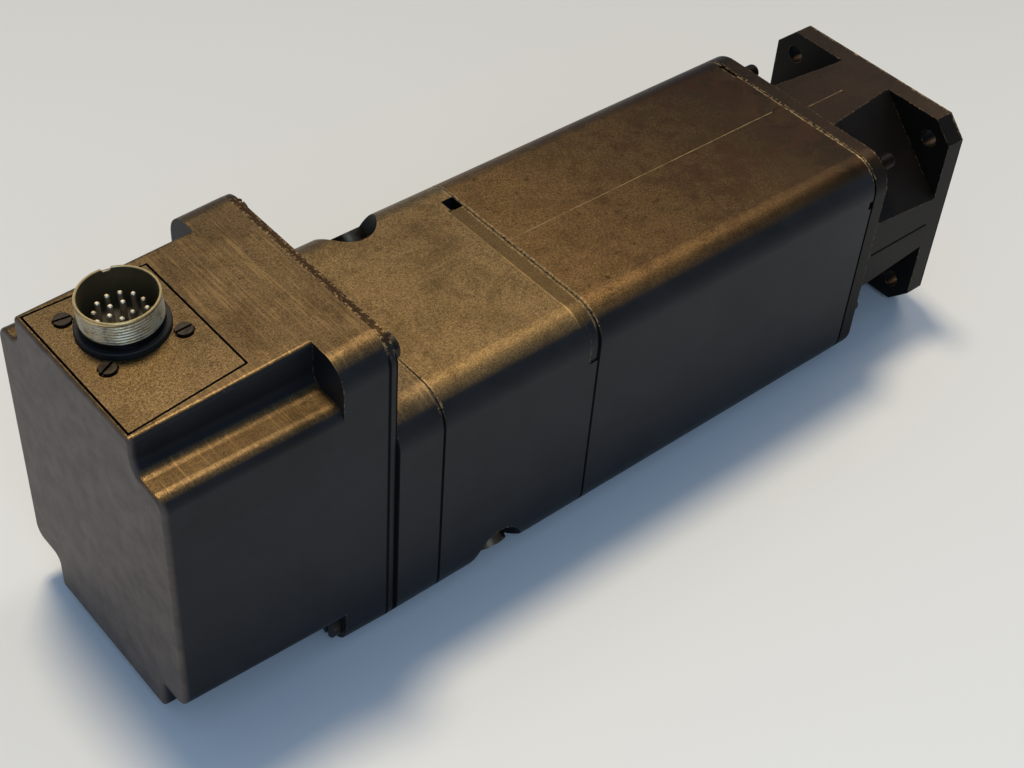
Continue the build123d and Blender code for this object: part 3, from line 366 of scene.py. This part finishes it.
def dull_band(on, tone, gold, band):
    """A duller sunk band behind the front seam, with a rubbed lip at its rear edge."""
    rear_station, side_limit = band
    beside = math_node(on.tree, "LESS_THAN", on.y, side_limit)
    inside = product(on.tree, remap(on.tree, on.x, rear_station, rear_station + 0.2 * MM), beside)
    tone = mix_colour(on.tree, product(on.tree, inside, 0.6), tone, shade(gold, 0.34))
    lip = remap(on.tree, distance_from(on.tree, on.x, rear_station), 0.5 * MM, 0.2 * MM)
    lip = product(on.tree, lip, beside, remap(on.tree, on.cloud, 0.42, 0.55, 0.0, 0.55))
    return mix_colour(on.tree, lip, tone, shade(gold, 2.2))


def grimy(on, tone, gold, spots, fade):
    """Dark specks and clouds of grime."""
    specks = remap(on.tree, noise(on.tree, on.place, 260.0, detail=6.0, roughness=0.75), 0.58, 0.68)
    tone = mix_colour(on.tree, product(on.tree, specks, spots), tone, shade(gold, 0.2))
    grime = noise(on.tree, on.place, 58.0, detail=9.0, roughness=0.74, distortion=0.6)
    grime = product(on.tree, remap(on.tree, grime, 0.49, 0.61), 0.70 * spots)
    grime = towards_dark_end(on, grime, fade, 0.45, 1.25)
    return mix_colour(on.tree, grime, tone, shade(gold, 0.25))


def rusty(on, tone, rust, fade):
    """Red-brown stains; more rust spreads them."""
    stains = noise(on.tree, on.place, 75.0, detail=7.0, roughness=0.7)
    stains = remap(on.tree, stains, 0.66 - 0.2 * rust, 0.80 - 0.2 * rust)
    stains = towards_dark_end(on, stains, fade, 0.15, 1.0)
    return mix_colour(on.tree, product(on.tree, stains, 0.7), tone, RUST)


def chipped_seams(on, ends, width, amount):
    """Masks of the chips on the upper side of a casting's edges, and of the dark line down its sides."""
    front, rear = ends
    seams = use_group(on.tree, SEAM_CHIPS, Front_Edge=front, Rear_Edge=rear, Width=width, Amount=amount)
    lit = use_group(on.tree, FACING_UP, From=0.25, To=0.75)["Mask"]
    line = math_node(on.tree, "SUBTRACT", seams["Line"], lit, clamp=True)
    return product(on.tree, seams["Mask"], lit), line


def scratch_and_ridge_highlight(on, scratch_and_highlight):
    """Mask of one long fine bright line along the top: a scratch on the stator, a painted highlight of a
    small ridge on the neck.
    """
    side, start, end = scratch_and_highlight
    wander = product(
        on.tree, math_node(on.tree, "SUBTRACT", noise(on.tree, on.place, 60.0), 0.5), 0.4 * MM
    )
    offset = distance_from(on.tree, math_node(on.tree, "ADD", on.y, wander), side)
    line = remap(on.tree, offset, 0.22 * MM, 0.10 * MM)
    on_top = math_node(on.tree, "GREATER_THAN", on.z, 0.0)
    broken = remap(on.tree, noise(on.tree, on.place, 260.0, detail=3.0), 0.32, 0.55, 0.35, 1.0)
    return product(on.tree, line, within(on.tree, on.x, start, end), on_top, broken)


def step_shadow_line(on, step_shadow):
    """Mask of a painted shadow: a dark line at one height, which stands for the shade in a small step."""
    height, start, end = step_shadow
    line = remap(on.tree, distance_from(on.tree, on.z, height), 0.7 * MM, 0.4 * MM)
    return product(on.tree, line, within(on.tree, on.x, start, end))


def cast_paint(
    name, gold, worn=0.97, side=BLACK_PAINT, sheen=0.17, fine_scale=3000.0, streaks=None, fade=None,
    band=None, spots=0.5, rust=0.0, ends=None, seam_width=1.0 * MM, chipped=0.50, scratch_and_highlight=None,
    step_shadow=None, end_face=None,
):
    """Black paint on a casting, with a speckled gold-brown colour wherever it faces up: partly worn paint,
    partly a painted sheen of the warm lamp overhead.

    gold is that colour of the tops, worn how much of it shows, side the paint and sheen its gloss.
    fine_scale is that of the specks, and streaks the rubbed lines' scale along each axis. fade is the
    (x, x, share left) between which the sheen dies away, and band the (rear x, y below) of a duller
    band. spots is the strength of the grime, rust that of the stains. ends are the stations of X of
    the chipped front and rear edges, seam_width is how far the chips reach and chipped their share.
    scratch_and_highlight is the (y, x from, x to) of a long bright line: a scratch on the stator, a
    painted highlight of a ridge on the neck. step_shadow is the (z, x from, x to) of a painted shadow line
    in a small step, and end_face the (x, colour) of a paler rear face.
    """
    material, tree, shader = new_material(name, Specular_IOR_Level=sheen)
    place = object_place(tree)
    cloud = noise(tree, place, 30.0, detail=6.0, roughness=0.65, distortion=0.5)
    on = Surface(tree, place, *split(tree, place), cloud)
    # The faces that look up get gold-brown metal and the sides black paint: partly worn paint, partly a
    # painted sheen of the warm lamp overhead
    up = use_group(tree, FACING_UP, From=0.67, To=0.93)["Mask"]
    # Its value is partly grain and partly a painted sparkle of tiny highlights
    grain_and_sparkle = use_group(tree, GRAIN_AND_SPARKLE, Fine_Scale=fine_scale)

    tone = speckled_gold(on, grain_and_sparkle["Value"], gold, streaks)
    if fade:
        tone = faded(on, tone, gold, fade)
    if band:
        tone = dull_band(on, tone, gold, band)
    tone = grimy(on, tone, gold, spots, fade)
    if rust:
        tone = rusty(on, tone, rust, fade)
    # On the faces that look up, the brown under the gold is partly undercoat and partly painted sheen
    under = mix_colour(tree, remap(tree, cloud, 0.35, 0.6), UNDERCOAT_AND_SHEEN_DARK, UNDERCOAT_AND_SHEEN_LIGHT)
    colour = mix_colour(tree, up, side_paint(on, side, end_face), under)
    # How much of each top shows the gold: wear and painted sheen together
    wear_and_sheen = product(tree, up, remap(tree, cloud, 0.30, 0.60, 0.75 * worn, worn))
    colour = mix_colour(tree, wear_and_sheen, colour, tone)

    bare_and_highlight = use_group(tree, WORN_EDGES, Width=0.6 * MM, Break_Up=800.0, Amount=0.52)["Mask"]
    dark_seams_and_shadow = 0.0
    if ends:
        chips, dark_seams_and_shadow = chipped_seams(on, ends, seam_width, chipped)
        bare_and_highlight = math_node(tree, "SUBTRACT", math_node(tree, "MAXIMUM", bare_and_highlight, chips), dark_seams_and_shadow, clamp=True)
        colour = mix_colour(tree, dark_seams_and_shadow, colour, SEAM_AND_SHADOW_BLACK)
    if scratch_and_highlight:
        # A scratch, and on the neck a painted highlight of a ridge, in bare metal
        bare_and_highlight = math_node(tree, "MAXIMUM", bare_and_highlight, scratch_and_ridge_highlight(on, scratch_and_highlight))
    bare_and_highlight = product(tree, bare_and_highlight, 0.8)
    colour = mix_colour(tree, bare_and_highlight, colour, BARE_METAL_AND_HIGHLIGHT)
    # A painted shadow: the dark line in the small step along the neck's sides
    if step_shadow:
        line = step_shadow_line(on, step_shadow)
        dark_seams_and_shadow = math_node(tree, "MAXIMUM", dark_seams_and_shadow, math_node(tree, "SUBTRACT", line, up, clamp=True))
        colour = mix_colour(tree, line, colour, SEAM_AND_SHADOW_BLACK)

    roughness = mix_value(tree, dark_seams_and_shadow, mix_value(tree, wear_and_sheen, 0.44, 0.40), 0.95)
    metallic = math_node(tree, "MAXIMUM", product(tree, up, 0.96), bare_and_highlight)
    connect(tree, shader, Base_Color=colour, Roughness=roughness, Metallic=metallic)
    bump(tree, shader, grain_and_sparkle["Height"], 0.35, 0.18 * MM)
    return material


# Other finishes

def plain_metal(name, colour, dark, roughness=0.32, stretch=(1.0, 1.0, 1.0), tarnish=0.3):
    """Bare or plated metal with machining lines, patches of tarnish and uneven gloss."""
    material, tree, shader = new_material(name, Metallic=1.0)
    place = object_place(tree)
    lines = noise(tree, vector_math(tree, "MULTIPLY", place, stretch), 900.0, detail=4.0, roughness=0.6)
    patches = noise(tree, place, 160.0, detail=4.0, roughness=0.6)
    tarnished = remap(tree, patches, 0.65 - 0.3 * tarnish, 0.45 - 0.3 * tarnish)
    tone = mix_colour(tree, remap(tree, lines, 0.3, 0.7), shade(colour, 0.86), colour)
    connect(
        tree, shader,
        Base_Color=mix_colour(tree, product(tree, tarnished, 0.8), tone, dark),
        Roughness=mix_value(tree, lines, roughness - 0.07, roughness + 0.13),
    )
    bump(tree, shader, lines, 0.2, 0.06 * MM)
    return material


def moulded(name, colour, worn, roughness=0.5, scale=700.0):
    """Rubber, plastic or carbon: a dull body with fine pores and rubbed high spots."""
    material, tree, shader = new_material(name, Specular_IOR_Level=0.4)
    place = object_place(tree)
    pores = noise(tree, place, scale, detail=4.0, roughness=0.6)
    patches = noise(tree, place, 120.0, detail=3.0)
    edges = use_group(tree, WORN_EDGES, Width=0.4 * MM, Break_Up=1200.0, Amount=0.5)["Mask"]
    tone = mix_colour(tree, remap(tree, patches, 0.35, 0.65), colour, shade(colour, 1.35))
    tone = mix_colour(tree, product(tree, remap(tree, pores, 0.45, 0.75), 0.5), tone, worn)
    connect(
        tree, shader,
        Base_Color=mix_colour(tree, edges, tone, worn),
        Roughness=mix_value(tree, pores, roughness - 0.1, roughness + 0.1),
    )
    bump(tree, shader, pores, 0.25, 0.1 * MM)
    return material


def laminations(name, colour, dark):
    """Stacked sheets of half a millimetre seen from their edges: fine lines across the axis."""
    material, tree, shader = new_material(name, Metallic=0.9)
    place = object_place(tree)
    sheets = math_node(tree, "FRACT", math_node(tree, "DIVIDE", split(tree, place)[0], 0.5 * MM))
    gap = remap(tree, sheets, 0.0, 0.25)
    patches = noise(tree, place, 140.0, detail=4.0)
    tone = mix_colour(tree, remap(tree, patches, 0.3, 0.7), colour, shade(colour, 0.75))
    connect(
        tree, shader,
        Base_Color=mix_colour(tree, gap, dark, tone), Roughness=mix_value(tree, patches, 0.3, 0.5),
    )
    bump(tree, shader, gap, 0.4, 0.1 * MM)
    return material


def wound_wire(name, colour, dark, pitch):
    """Enamelled wire laid side by side along the slots; pitch is in radians."""
    material, tree, shader = new_material(name, Metallic=0.85)
    place = object_place(tree)
    across, height = split(tree, place)[1:]
    round_angle = math_node(tree, "ARCTAN2", height, across)
    strands = math_node(tree, "SINE", product(tree, round_angle, 2 * math.pi / pitch))
    patches = noise(tree, place, 180.0, detail=4.0)
    tone = mix_colour(tree, remap(tree, patches, 0.3, 0.7), colour, shade(colour, 0.7))
    between = remap(tree, strands, -0.9, -0.3)
    connect(
        tree, shader,
        Base_Color=mix_colour(tree, between, dark, tone), Roughness=mix_value(tree, patches, 0.25, 0.45),
    )
    bump(tree, shader, strands, 0.5, 0.3 * MM)
    return material


def paint_pieces(material, *names):
    """Give CAD pieces their finish."""
    for name in names:
        mesh = frame["nodes"][name].data
        mesh.materials.clear()
        mesh.materials.append(material)


# Castings and covers
# Each gold below is the colour of that piece's tops: partly worn paint, partly painted sheen of the lamp
# overhead
paint_pieces(
    cast_paint(
        "paint on front shield", (0.039, 0.022, 0.010), worn=0.8, side=BROWN_BLACK_PAINT, sheen=0.09,
        # On the neck, a painted highlight of a ridge along its top
        ends=(FLANGE_FACE, STATOR_FRONT), scratch_and_highlight=(-0.002, -0.043, -0.024),
        # Painted shadow line in the step along the neck's sides
        step_shadow=(-0.0005, -0.042, -0.009),
    ),
    "front_end_shield",
)
paint_pieces(
    cast_paint(
        "paint on stator", (0.244, 0.137, 0.047), fade=(-0.190, -0.058, 0.06), spots=0.9, rust=0.9,
        ends=(STATOR_FRONT, STATOR_REAR), chipped=0.58, scratch_and_highlight=(0.0015, -0.1894, -0.0603),
    ),
    "stator_housing",
)
paint_pieces(
    cast_paint(
        "paint on brush housing", (0.285, 0.178, 0.069), band=(-0.1970, 0.0258),
        ends=(STATOR_REAR, REAR_SHIELD_FRONT), chipped=0.56,
    ),
    "brush_housing",
)
paint_pieces(
    cast_paint(
        "paint on rear shield", (0.224, 0.145, 0.066), streaks=(1500.0, 60.0, 60.0),
        ends=(REAR_SHIELD_FRONT, RIM_PLATE_FRONT),
    ),
    "rear_end_shield",
)
paint_pieces(
    cast_paint(
        "paint on rim plate", (0.065, 0.036, 0.016), streaks=(1500.0, 60.0, 60.0),
        ends=(RIM_PLATE_FRONT, COVER_FRONT),
    ),
    "cover_rim_plate",
)
paint_pieces(
    cast_paint(
        "paint on rear cover", (0.164, 0.105, 0.046), streaks=(1300.0, 45.0, 45.0),
        ends=(COVER_FRONT, COVER_FRONT), seam_width=0.5 * MM, chipped=0.30,
        # Paler rear face: partly dust, partly painted reflection of the lit floor
        end_face=(-0.3535, (0.092, 0.070, 0.058)),
    ),
    "rear_cover",
)
paint_pieces(cast_paint("paint on lid plate", (0.202, 0.131, 0.056), fine_scale=2200.0), "connector_plate")

# Connector
paint_pieces(moulded("insert", (0.030, 0.025, 0.015), (0.06, 0.05, 0.032), 0.5), "connector_insert")
paint_pieces(plain_metal("contact pins", (0.78, 0.72, 0.60), (0.45, 0.38, 0.27), 0.42), "connector_pins")
rubber = moulded("rubber", (0.006, 0.006, 0.006), (0.014, 0.013, 0.012), 0.6)
paint_pieces(rubber, "connector_base_ring", "shaft_seal")

# Fasteners
dark_steel = plain_metal("dark steel", (0.060, 0.050, 0.040), (0.010, 0.009, 0.008), 0.4, tarnish=0.6)
paint_pieces(
    dark_steel,
    "connector_screws", "cover_screws", "rear_shield_screws", "rim_plate_screws", "circlip",
)
painted_steel = plain_metal(
    "painted steel", (0.014, 0.011, 0.008), (0.004, 0.004, 0.003), 0.5, tarnish=0.6
)
paint_pieces(painted_steel, "tie_stud_nuts", "tie_stud_washers", "tie_studs")
zinc = plain_metal("zinc plated steel", (0.55, 0.54, 0.50), (0.25, 0.22, 0.16), 0.35)
paint_pieces(zinc, "bearing_retainer", "bearing_retainer_screws", "tacho_screws", "preload_spring")

# Shaft and bearings
ground_steel = plain_metal(
    "ground steel", (0.62, 0.61, 0.59), (0.30, 0.24, 0.17), 0.22, stretch=(6.0, 1.0, 1.0), tarnish=0.2
)
paint_pieces(ground_steel, "shaft")
bearing_steel = plain_metal(
    "bearing steel", (0.70, 0.69, 0.68), (0.4, 0.36, 0.3), 0.14, tarnish=0.05
)
brass = plain_metal("brass", (0.62, 0.44, 0.18), (0.24, 0.15, 0.05), 0.3)
for end in ("front", "rear"):
    paint_pieces(
        bearing_steel,
        f"{end}_bearing_outer_ring", f"{end}_bearing_inner_ring", f"{end}_bearing_balls",
    )
    paint_pieces(brass, f"{end}_bearing_cage")

# Magnets, rotor and tachogenerator
ferrite = moulded("ferrite", (0.035, 0.034, 0.036), (0.09, 0.085, 0.085), 0.6, scale=1400.0)
paint_pieces(ferrite, "tacho_magnet", *[f"field_magnet_{number}" for number in range(1, 7)])
paint_pieces(laminations("core sheets", (0.36, 0.35, 0.33), (0.05, 0.045, 0.04)), "armature_core")
paint_pieces(laminations("tacho core sheets", (0.34, 0.33, 0.31), (0.05, 0.045, 0.04)), "tacho_rotor")
wire = wound_wire("enamelled wire", (0.52, 0.20, 0.07), (0.12, 0.04, 0.015), pitch=0.05)
paint_pieces(wire, "armature_windings")
copper = plain_metal("commutator copper", (0.72, 0.36, 0.20), (0.20, 0.09, 0.05), 0.26, tarnish=0.35)
paint_pieces(copper, "commutator")
paint_pieces(plain_metal("tacho case", (0.60, 0.60, 0.60), (0.32, 0.31, 0.29), 0.38), "tacho_housing")

# Brushes and their holders
phenolic = moulded("phenolic resin", (0.045, 0.018, 0.008), (0.10, 0.055, 0.03), 0.45)
turned_cap = plain_metal("turned cap", (0.12, 0.090, 0.058), (0.03, 0.024, 0.018), 0.32, tarnish=0.5)
carbon = moulded("carbon", (0.02, 0.02, 0.021), (0.06, 0.06, 0.062), 0.5, scale=1800.0)
paint_pieces(phenolic, "commutator_hub", "brush_holder_a", "brush_holder_b")
paint_pieces(turned_cap, "brush_cap_a", "brush_cap_b")
paint_pieces(carbon, "brush_a", "brush_b")
paint_pieces(brass, "brush_spring_a", "brush_spring_b")


# Threaded collar of the connector, which takes the place of the plain one. Its axes and its foot come
# from the record's mount, which is the middle of its thread. Heights are measured from that foot, and
# angles from the collar's forward axis
thread = next(mount for mount in frame["record"]["mounts"] if mount["name"] == "connector_thread")
COLLAR_UP = Vector(thread["axis"]).normalized()
COLLAR_ASIDE = Vector((0.0, 1.0, 0.0))
COLLAR_FORWARD = COLLAR_ASIDE.cross(COLLAR_UP)
COLLAR_FOOT = Vector(thread["pos_m"]) - COLLAR_UP * 7.35 * MM
COLLAR_SIDES = 144
COLLAR_RADIUS = thread["dims"]["r_mm"] * MM
COLLAR_BORE = 11.75 * MM
COLLAR_NECK = 12.4 * MM
COLLAR_HEIGHT = 12.6 * MM
SKIRT_FOOT = -17.0 * MM
FLANGE_BOTTOM = -9.0 * MM
FLANGE_TOP = -6.0 * MM
FLANGE_HALF = 15.0 * MM
FLANGE_CORNER = 3.0 * MM
THREAD_FOOT = 2.4 * MM
THREAD_PITCH = 1.05 * MM
THREAD_DEPTH = 0.30 * MM
THREAD_TURNS = 9
ROWS_IN_TURN = 8
THREAD_TOP = THREAD_FOOT + THREAD_TURNS * THREAD_PITCH
KEY_ANGLE = math.radians(-63)
KEY_WIDTH = math.radians(4)
KEY_HEIGHT = 0.8 * MM
KEY_FOOT = 2.0 * MM
KEY_TOP = 11.6 * MM
NOTCH_ANGLE = math.radians(75)
NOTCH_WIDTH = math.radians(5)
NOTCH_FLOOR = 11.6 * MM
NICKEL = ((0.60, 0.46, 0.26), (0.60, 0.51, 0.37))
COLLAR_GRIME = (0.16, 0.13, 0.08)
RIM_BRASS = (0.62, 0.46, 0.22)
# Black of the painted shade at the collar's foot
FOOT_SHADE_BLACK = (0.006, 0.006, 0.006)
OLIVE = (0.20, 0.17, 0.10)


def brass_collar():
    """Dull nickel worn to brass at the rim, dark olive inside the collar, with painted shade on the
    lowest turns of the thread at its foot.
    """
    material, tree, shader = new_material("nickelled brass", Metallic=1.0)
    place = object_place(tree)
    patches = noise(tree, place, 190.0, detail=5.0, roughness=0.65)
    fine = noise(tree, place, 1500.0, detail=3.0)
    tone = mix_colour(tree, remap(tree, patches, 0.40, 0.62), *NICKEL)
    grime = remap(tree, noise(tree, place, 330.0, detail=5.0, roughness=0.7), 0.50, 0.40)
    tone = mix_colour(tree, product(tree, grime, 0.5), tone, COLLAR_GRIME)

    away = vector_math(tree, "SUBTRACT", place, COLLAR_FOOT)
    level = vector_math(tree, "DOT_PRODUCT", away, COLLAR_UP, output="Value")
    from_axis = vector_math(tree, "CROSS_PRODUCT", away, COLLAR_UP)
    radius = vector_math(tree, "LENGTH", from_axis, output="Value")
    rim = remap(tree, level, COLLAR_HEIGHT - 0.9 * MM, COLLAR_HEIGHT - 0.5 * MM)
    tone = mix_colour(tree, rim, tone, RIM_BRASS)
    # Painted shade: the lowest turns of the thread go black
    tone = mix_colour(tree, remap(tree, level, 4.9 * MM, 4.3 * MM), tone, FOOT_SHADE_BLACK)
    inner = remap(tree, radius, COLLAR_BORE + 0.12 * MM, COLLAR_BORE + 0.02 * MM)
    roughness = math_node(
        tree, "ADD", mix_value(tree, inner, 0.0, 0.25), mix_value(tree, fine, 0.22, 0.42)
    )
    connect(tree, shader, Base_Color=mix_colour(tree, inner, tone, OLIVE), Roughness=roughness)
    bump(tree, shader, fine, 0.15, 0.05 * MM)
    return material


def angle_between(a, b):
    """Smallest turn from one angle to another."""
    return (a - b + math.pi) % (2 * math.pi) - math.pi


def square_reach(angle):
    """Distance from the middle to the edge of the flange's rounded square, at the given angle."""
    x, y = abs(math.cos(angle)), abs(math.sin(angle))
    straight = FLANGE_HALF / max(x, y)
    middle = FLANGE_HALF - FLANGE_CORNER
    if min(x, y) * straight <= middle:
        return straight
    along = (x + y) * middle
    return along + math.sqrt(along * along - 2 * middle * middle + FLANGE_CORNER * FLANGE_CORNER)


def thread_groove(angle, height, rows_to_end):
    """Depth of the thread's groove, which runs out at both ends."""
    phase = (height / THREAD_PITCH - angle / (2 * math.pi)) % 1.0
    run_out = min(1.0, 2 * rows_to_end / ROWS_IN_TURN)
    return THREAD_DEPTH * min(1.0, abs(2 * phase - 1) * 1.25) * run_out


def collar_profile():
    """Radius and height of each ring, round the collar's section, and the rings with the thread.

    The square flange's rings have no radius.
    """
    below = [
        (COLLAR_BORE, SKIRT_FOOT), (COLLAR_NECK, SKIRT_FOOT), (COLLAR_NECK, FLANGE_BOTTOM),
        (None, FLANGE_BOTTOM), (None, FLANGE_TOP), (COLLAR_NECK, FLANGE_TOP),
        (COLLAR_NECK, THREAD_FOOT - 0.3 * MM),
    ]
    row_height = THREAD_PITCH / ROWS_IN_TURN
    rows = range(THREAD_TURNS * ROWS_IN_TURN + 1)
    threaded = [(COLLAR_RADIUS, THREAD_FOOT + row * row_height) for row in rows]
    above = [
        (COLLAR_RADIUS - 0.05 * MM, THREAD_TOP + 0.2 * MM),
        (COLLAR_RADIUS - 0.05 * MM, COLLAR_HEIGHT - 0.25 * MM), (COLLAR_RADIUS - 0.25 * MM, COLLAR_HEIGHT),
        (COLLAR_BORE + 0.18 * MM, COLLAR_HEIGHT), (COLLAR_BORE, COLLAR_HEIGHT - 0.2 * MM),
        (COLLAR_BORE, KEY_TOP), (COLLAR_BORE - KEY_HEIGHT, KEY_TOP - 0.1 * MM),
        (COLLAR_BORE - KEY_HEIGHT, KEY_FOOT), (COLLAR_BORE, KEY_FOOT - 0.1 * MM),
    ]
    return below + threaded + above, range(len(below), len(below) + len(threaded))


def collar_point(angle, radius, height, groove):
    """Place of one point of the collar, with the flange's outline, the key and the notch worked in."""
    reach = square_reach(angle) if radius is None else radius - groove
    if reach < COLLAR_BORE and abs(angle_between(angle, KEY_ANGLE)) > KEY_WIDTH:
        reach = COLLAR_BORE
    if height > NOTCH_FLOOR and abs(angle_between(angle, NOTCH_ANGLE)) < NOTCH_WIDTH:
        height = NOTCH_FLOOR + 0.02 * (height - NOTCH_FLOOR)
    outwards = COLLAR_FORWARD * math.cos(angle) + COLLAR_ASIDE * math.sin(angle)
    return COLLAR_FOOT + outwards * reach + COLLAR_UP * height


def make_collar():
    """The connector's shell: skirt, square flange, neck, threaded collar with its notch and inner key."""
    profile, threaded = collar_profile()
    shape = bmesh.new()
    rings = []
    for index, (radius, height) in enumerate(profile):
        ring = []
        for side in range(COLLAR_SIDES):
            angle = 2 * math.pi * side / COLLAR_SIDES
            groove = 0.0
            if index in threaded:
                groove = thread_groove(angle, height, min(index - threaded[0], threaded[-1] - index))
            ring.append(shape.verts.new(collar_point(angle, radius, height, groove)))
        rings.append(ring)
    for lower, upper in zip(rings, rings[1:] + rings[:1]):
        for side in range(COLLAR_SIDES):
            following = (side + 1) % COLLAR_SIDES
            shape.faces.new((lower[side], lower[following], upper[following], upper[side]))
    bmesh.ops.recalc_face_normals(shape, faces=shape.faces)
    mesh = bpy.data.meshes.new("threaded_collar")
    shape.to_mesh(mesh)
    shape.free()
    for face in mesh.polygons:
        face.use_smooth = True
    mesh.set_sharp_from_angle(angle=math.radians(38))
    mesh.materials.append(brass_collar())
    collar = bpy.data.objects.new("threaded_collar", mesh)
    bpy.context.scene.collection.objects.link(collar)
    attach(collar, "stator")
    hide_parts("connector_shell")


make_collar()


# Floor, light and camera

def make_floor():
    """Pale table top, seamless and wide, with painted light: paler towards the camera, darker away from
    it.
    """
    half = 6.0
    corners = [(x * half, y * half, FLOOR_HEIGHT) for x, y in ((-1, -1), (1, -1), (1, 1), (-1, 1))]
    mesh = bpy.data.meshes.new("floor")
    mesh.from_pydata(corners, [], [(0, 1, 2, 3)])
    floor = bpy.data.objects.new("floor", mesh)
    bpy.context.scene.collection.objects.link(floor)
    material, tree, shader = new_material("pale table", Specular_IOR_Level=0.25, Roughness=0.5)
    place = object_place(tree)
    towards_camera = (-0.69, -0.73, 0.0)
    nearer = vector_math(tree, "DOT_PRODUCT", place, towards_camera, output="Value")
    # Painted light: the floor's colour brightens towards the camera
    paler = remap(tree, nearer, -0.25, 0.42, smooth=False)
    colour = mix_colour(tree, paler, (0.62, 0.625, 0.625), (0.88, 0.895, 0.91))
    drift = product(tree, noise(tree, place, 1.6, detail=1.0), 0.06)
    colour = mix_colour(tree, drift, colour, (0.6, 0.6, 0.58))
    connect(tree, shader, Base_Color=colour)
    mesh.materials.append(material)


def area_light(name, towards, distance, size, power, colour):
    """A soft lamp that shines on the motor's middle from the given direction."""
    middle = Vector((-0.17, 0.0, 0.0))
    lamp = bpy.data.lights.new(name, "AREA")
    lamp.shape = "DISK"
    lamp.size = size
    lamp.energy = power
    lamp.color = colour
    holder = bpy.data.objects.new(name, lamp)
    direction = Vector(towards).normalized()
    holder.location = middle + direction * distance
    holder.rotation_euler = direction.to_track_quat("Z", "Y").to_euler()
    bpy.context.scene.collection.objects.link(holder)


def make_light():
    """A warm lamp overhead, a weak one at the shaft's side, and wide blue light from behind the camera."""
    area_light("key lamp", (0.06, 0.27, 1.0), 3.0, 0.65, 57.0, (1.0, 0.85, 0.60))
    area_light("side lamp", (0.8, 0.2, 0.6), 3.0, 1.2, 17.0, (1.0, 0.88, 0.70))
    area_light("window", (-0.4, -0.7, 0.6), 4.0, 3.0, 34.0, (0.45, 0.68, 1.0))
    world = bpy.data.worlds.new("studio")
    world.use_nodes = True
    set_inputs(world.node_tree.nodes["Background"], Color=(0.18, 0.24, 0.33, 1.0), Strength=1.0)
    bpy.context.scene.world = world


def make_camera():
    """The photograph's viewpoint, fitted to the motor's own edges."""
    place = Vector((-0.50260, -0.33810, 0.42308))
    right = Vector((0.76453, -0.64189, 0.05890))
    up = Vector((0.41360, 0.55860, 0.71896))
    back = Vector((-0.49440, -0.52531, 0.69255))
    camera = bpy.data.cameras.new("camera")
    camera.lens = 61.257
    camera.sensor_width = 36.0
    holder = bpy.data.objects.new("camera", camera)
    turn = Matrix((right, up, back)).transposed().to_4x4()
    holder.matrix_world = Matrix.Translation(place) @ turn
    bpy.context.scene.collection.objects.link(holder)
    bpy.context.scene.camera = holder


make_floor()
make_light()
make_camera()
bpy.context.scene.view_settings.view_transform = "Standard"

bpy.context.view_layer.update()
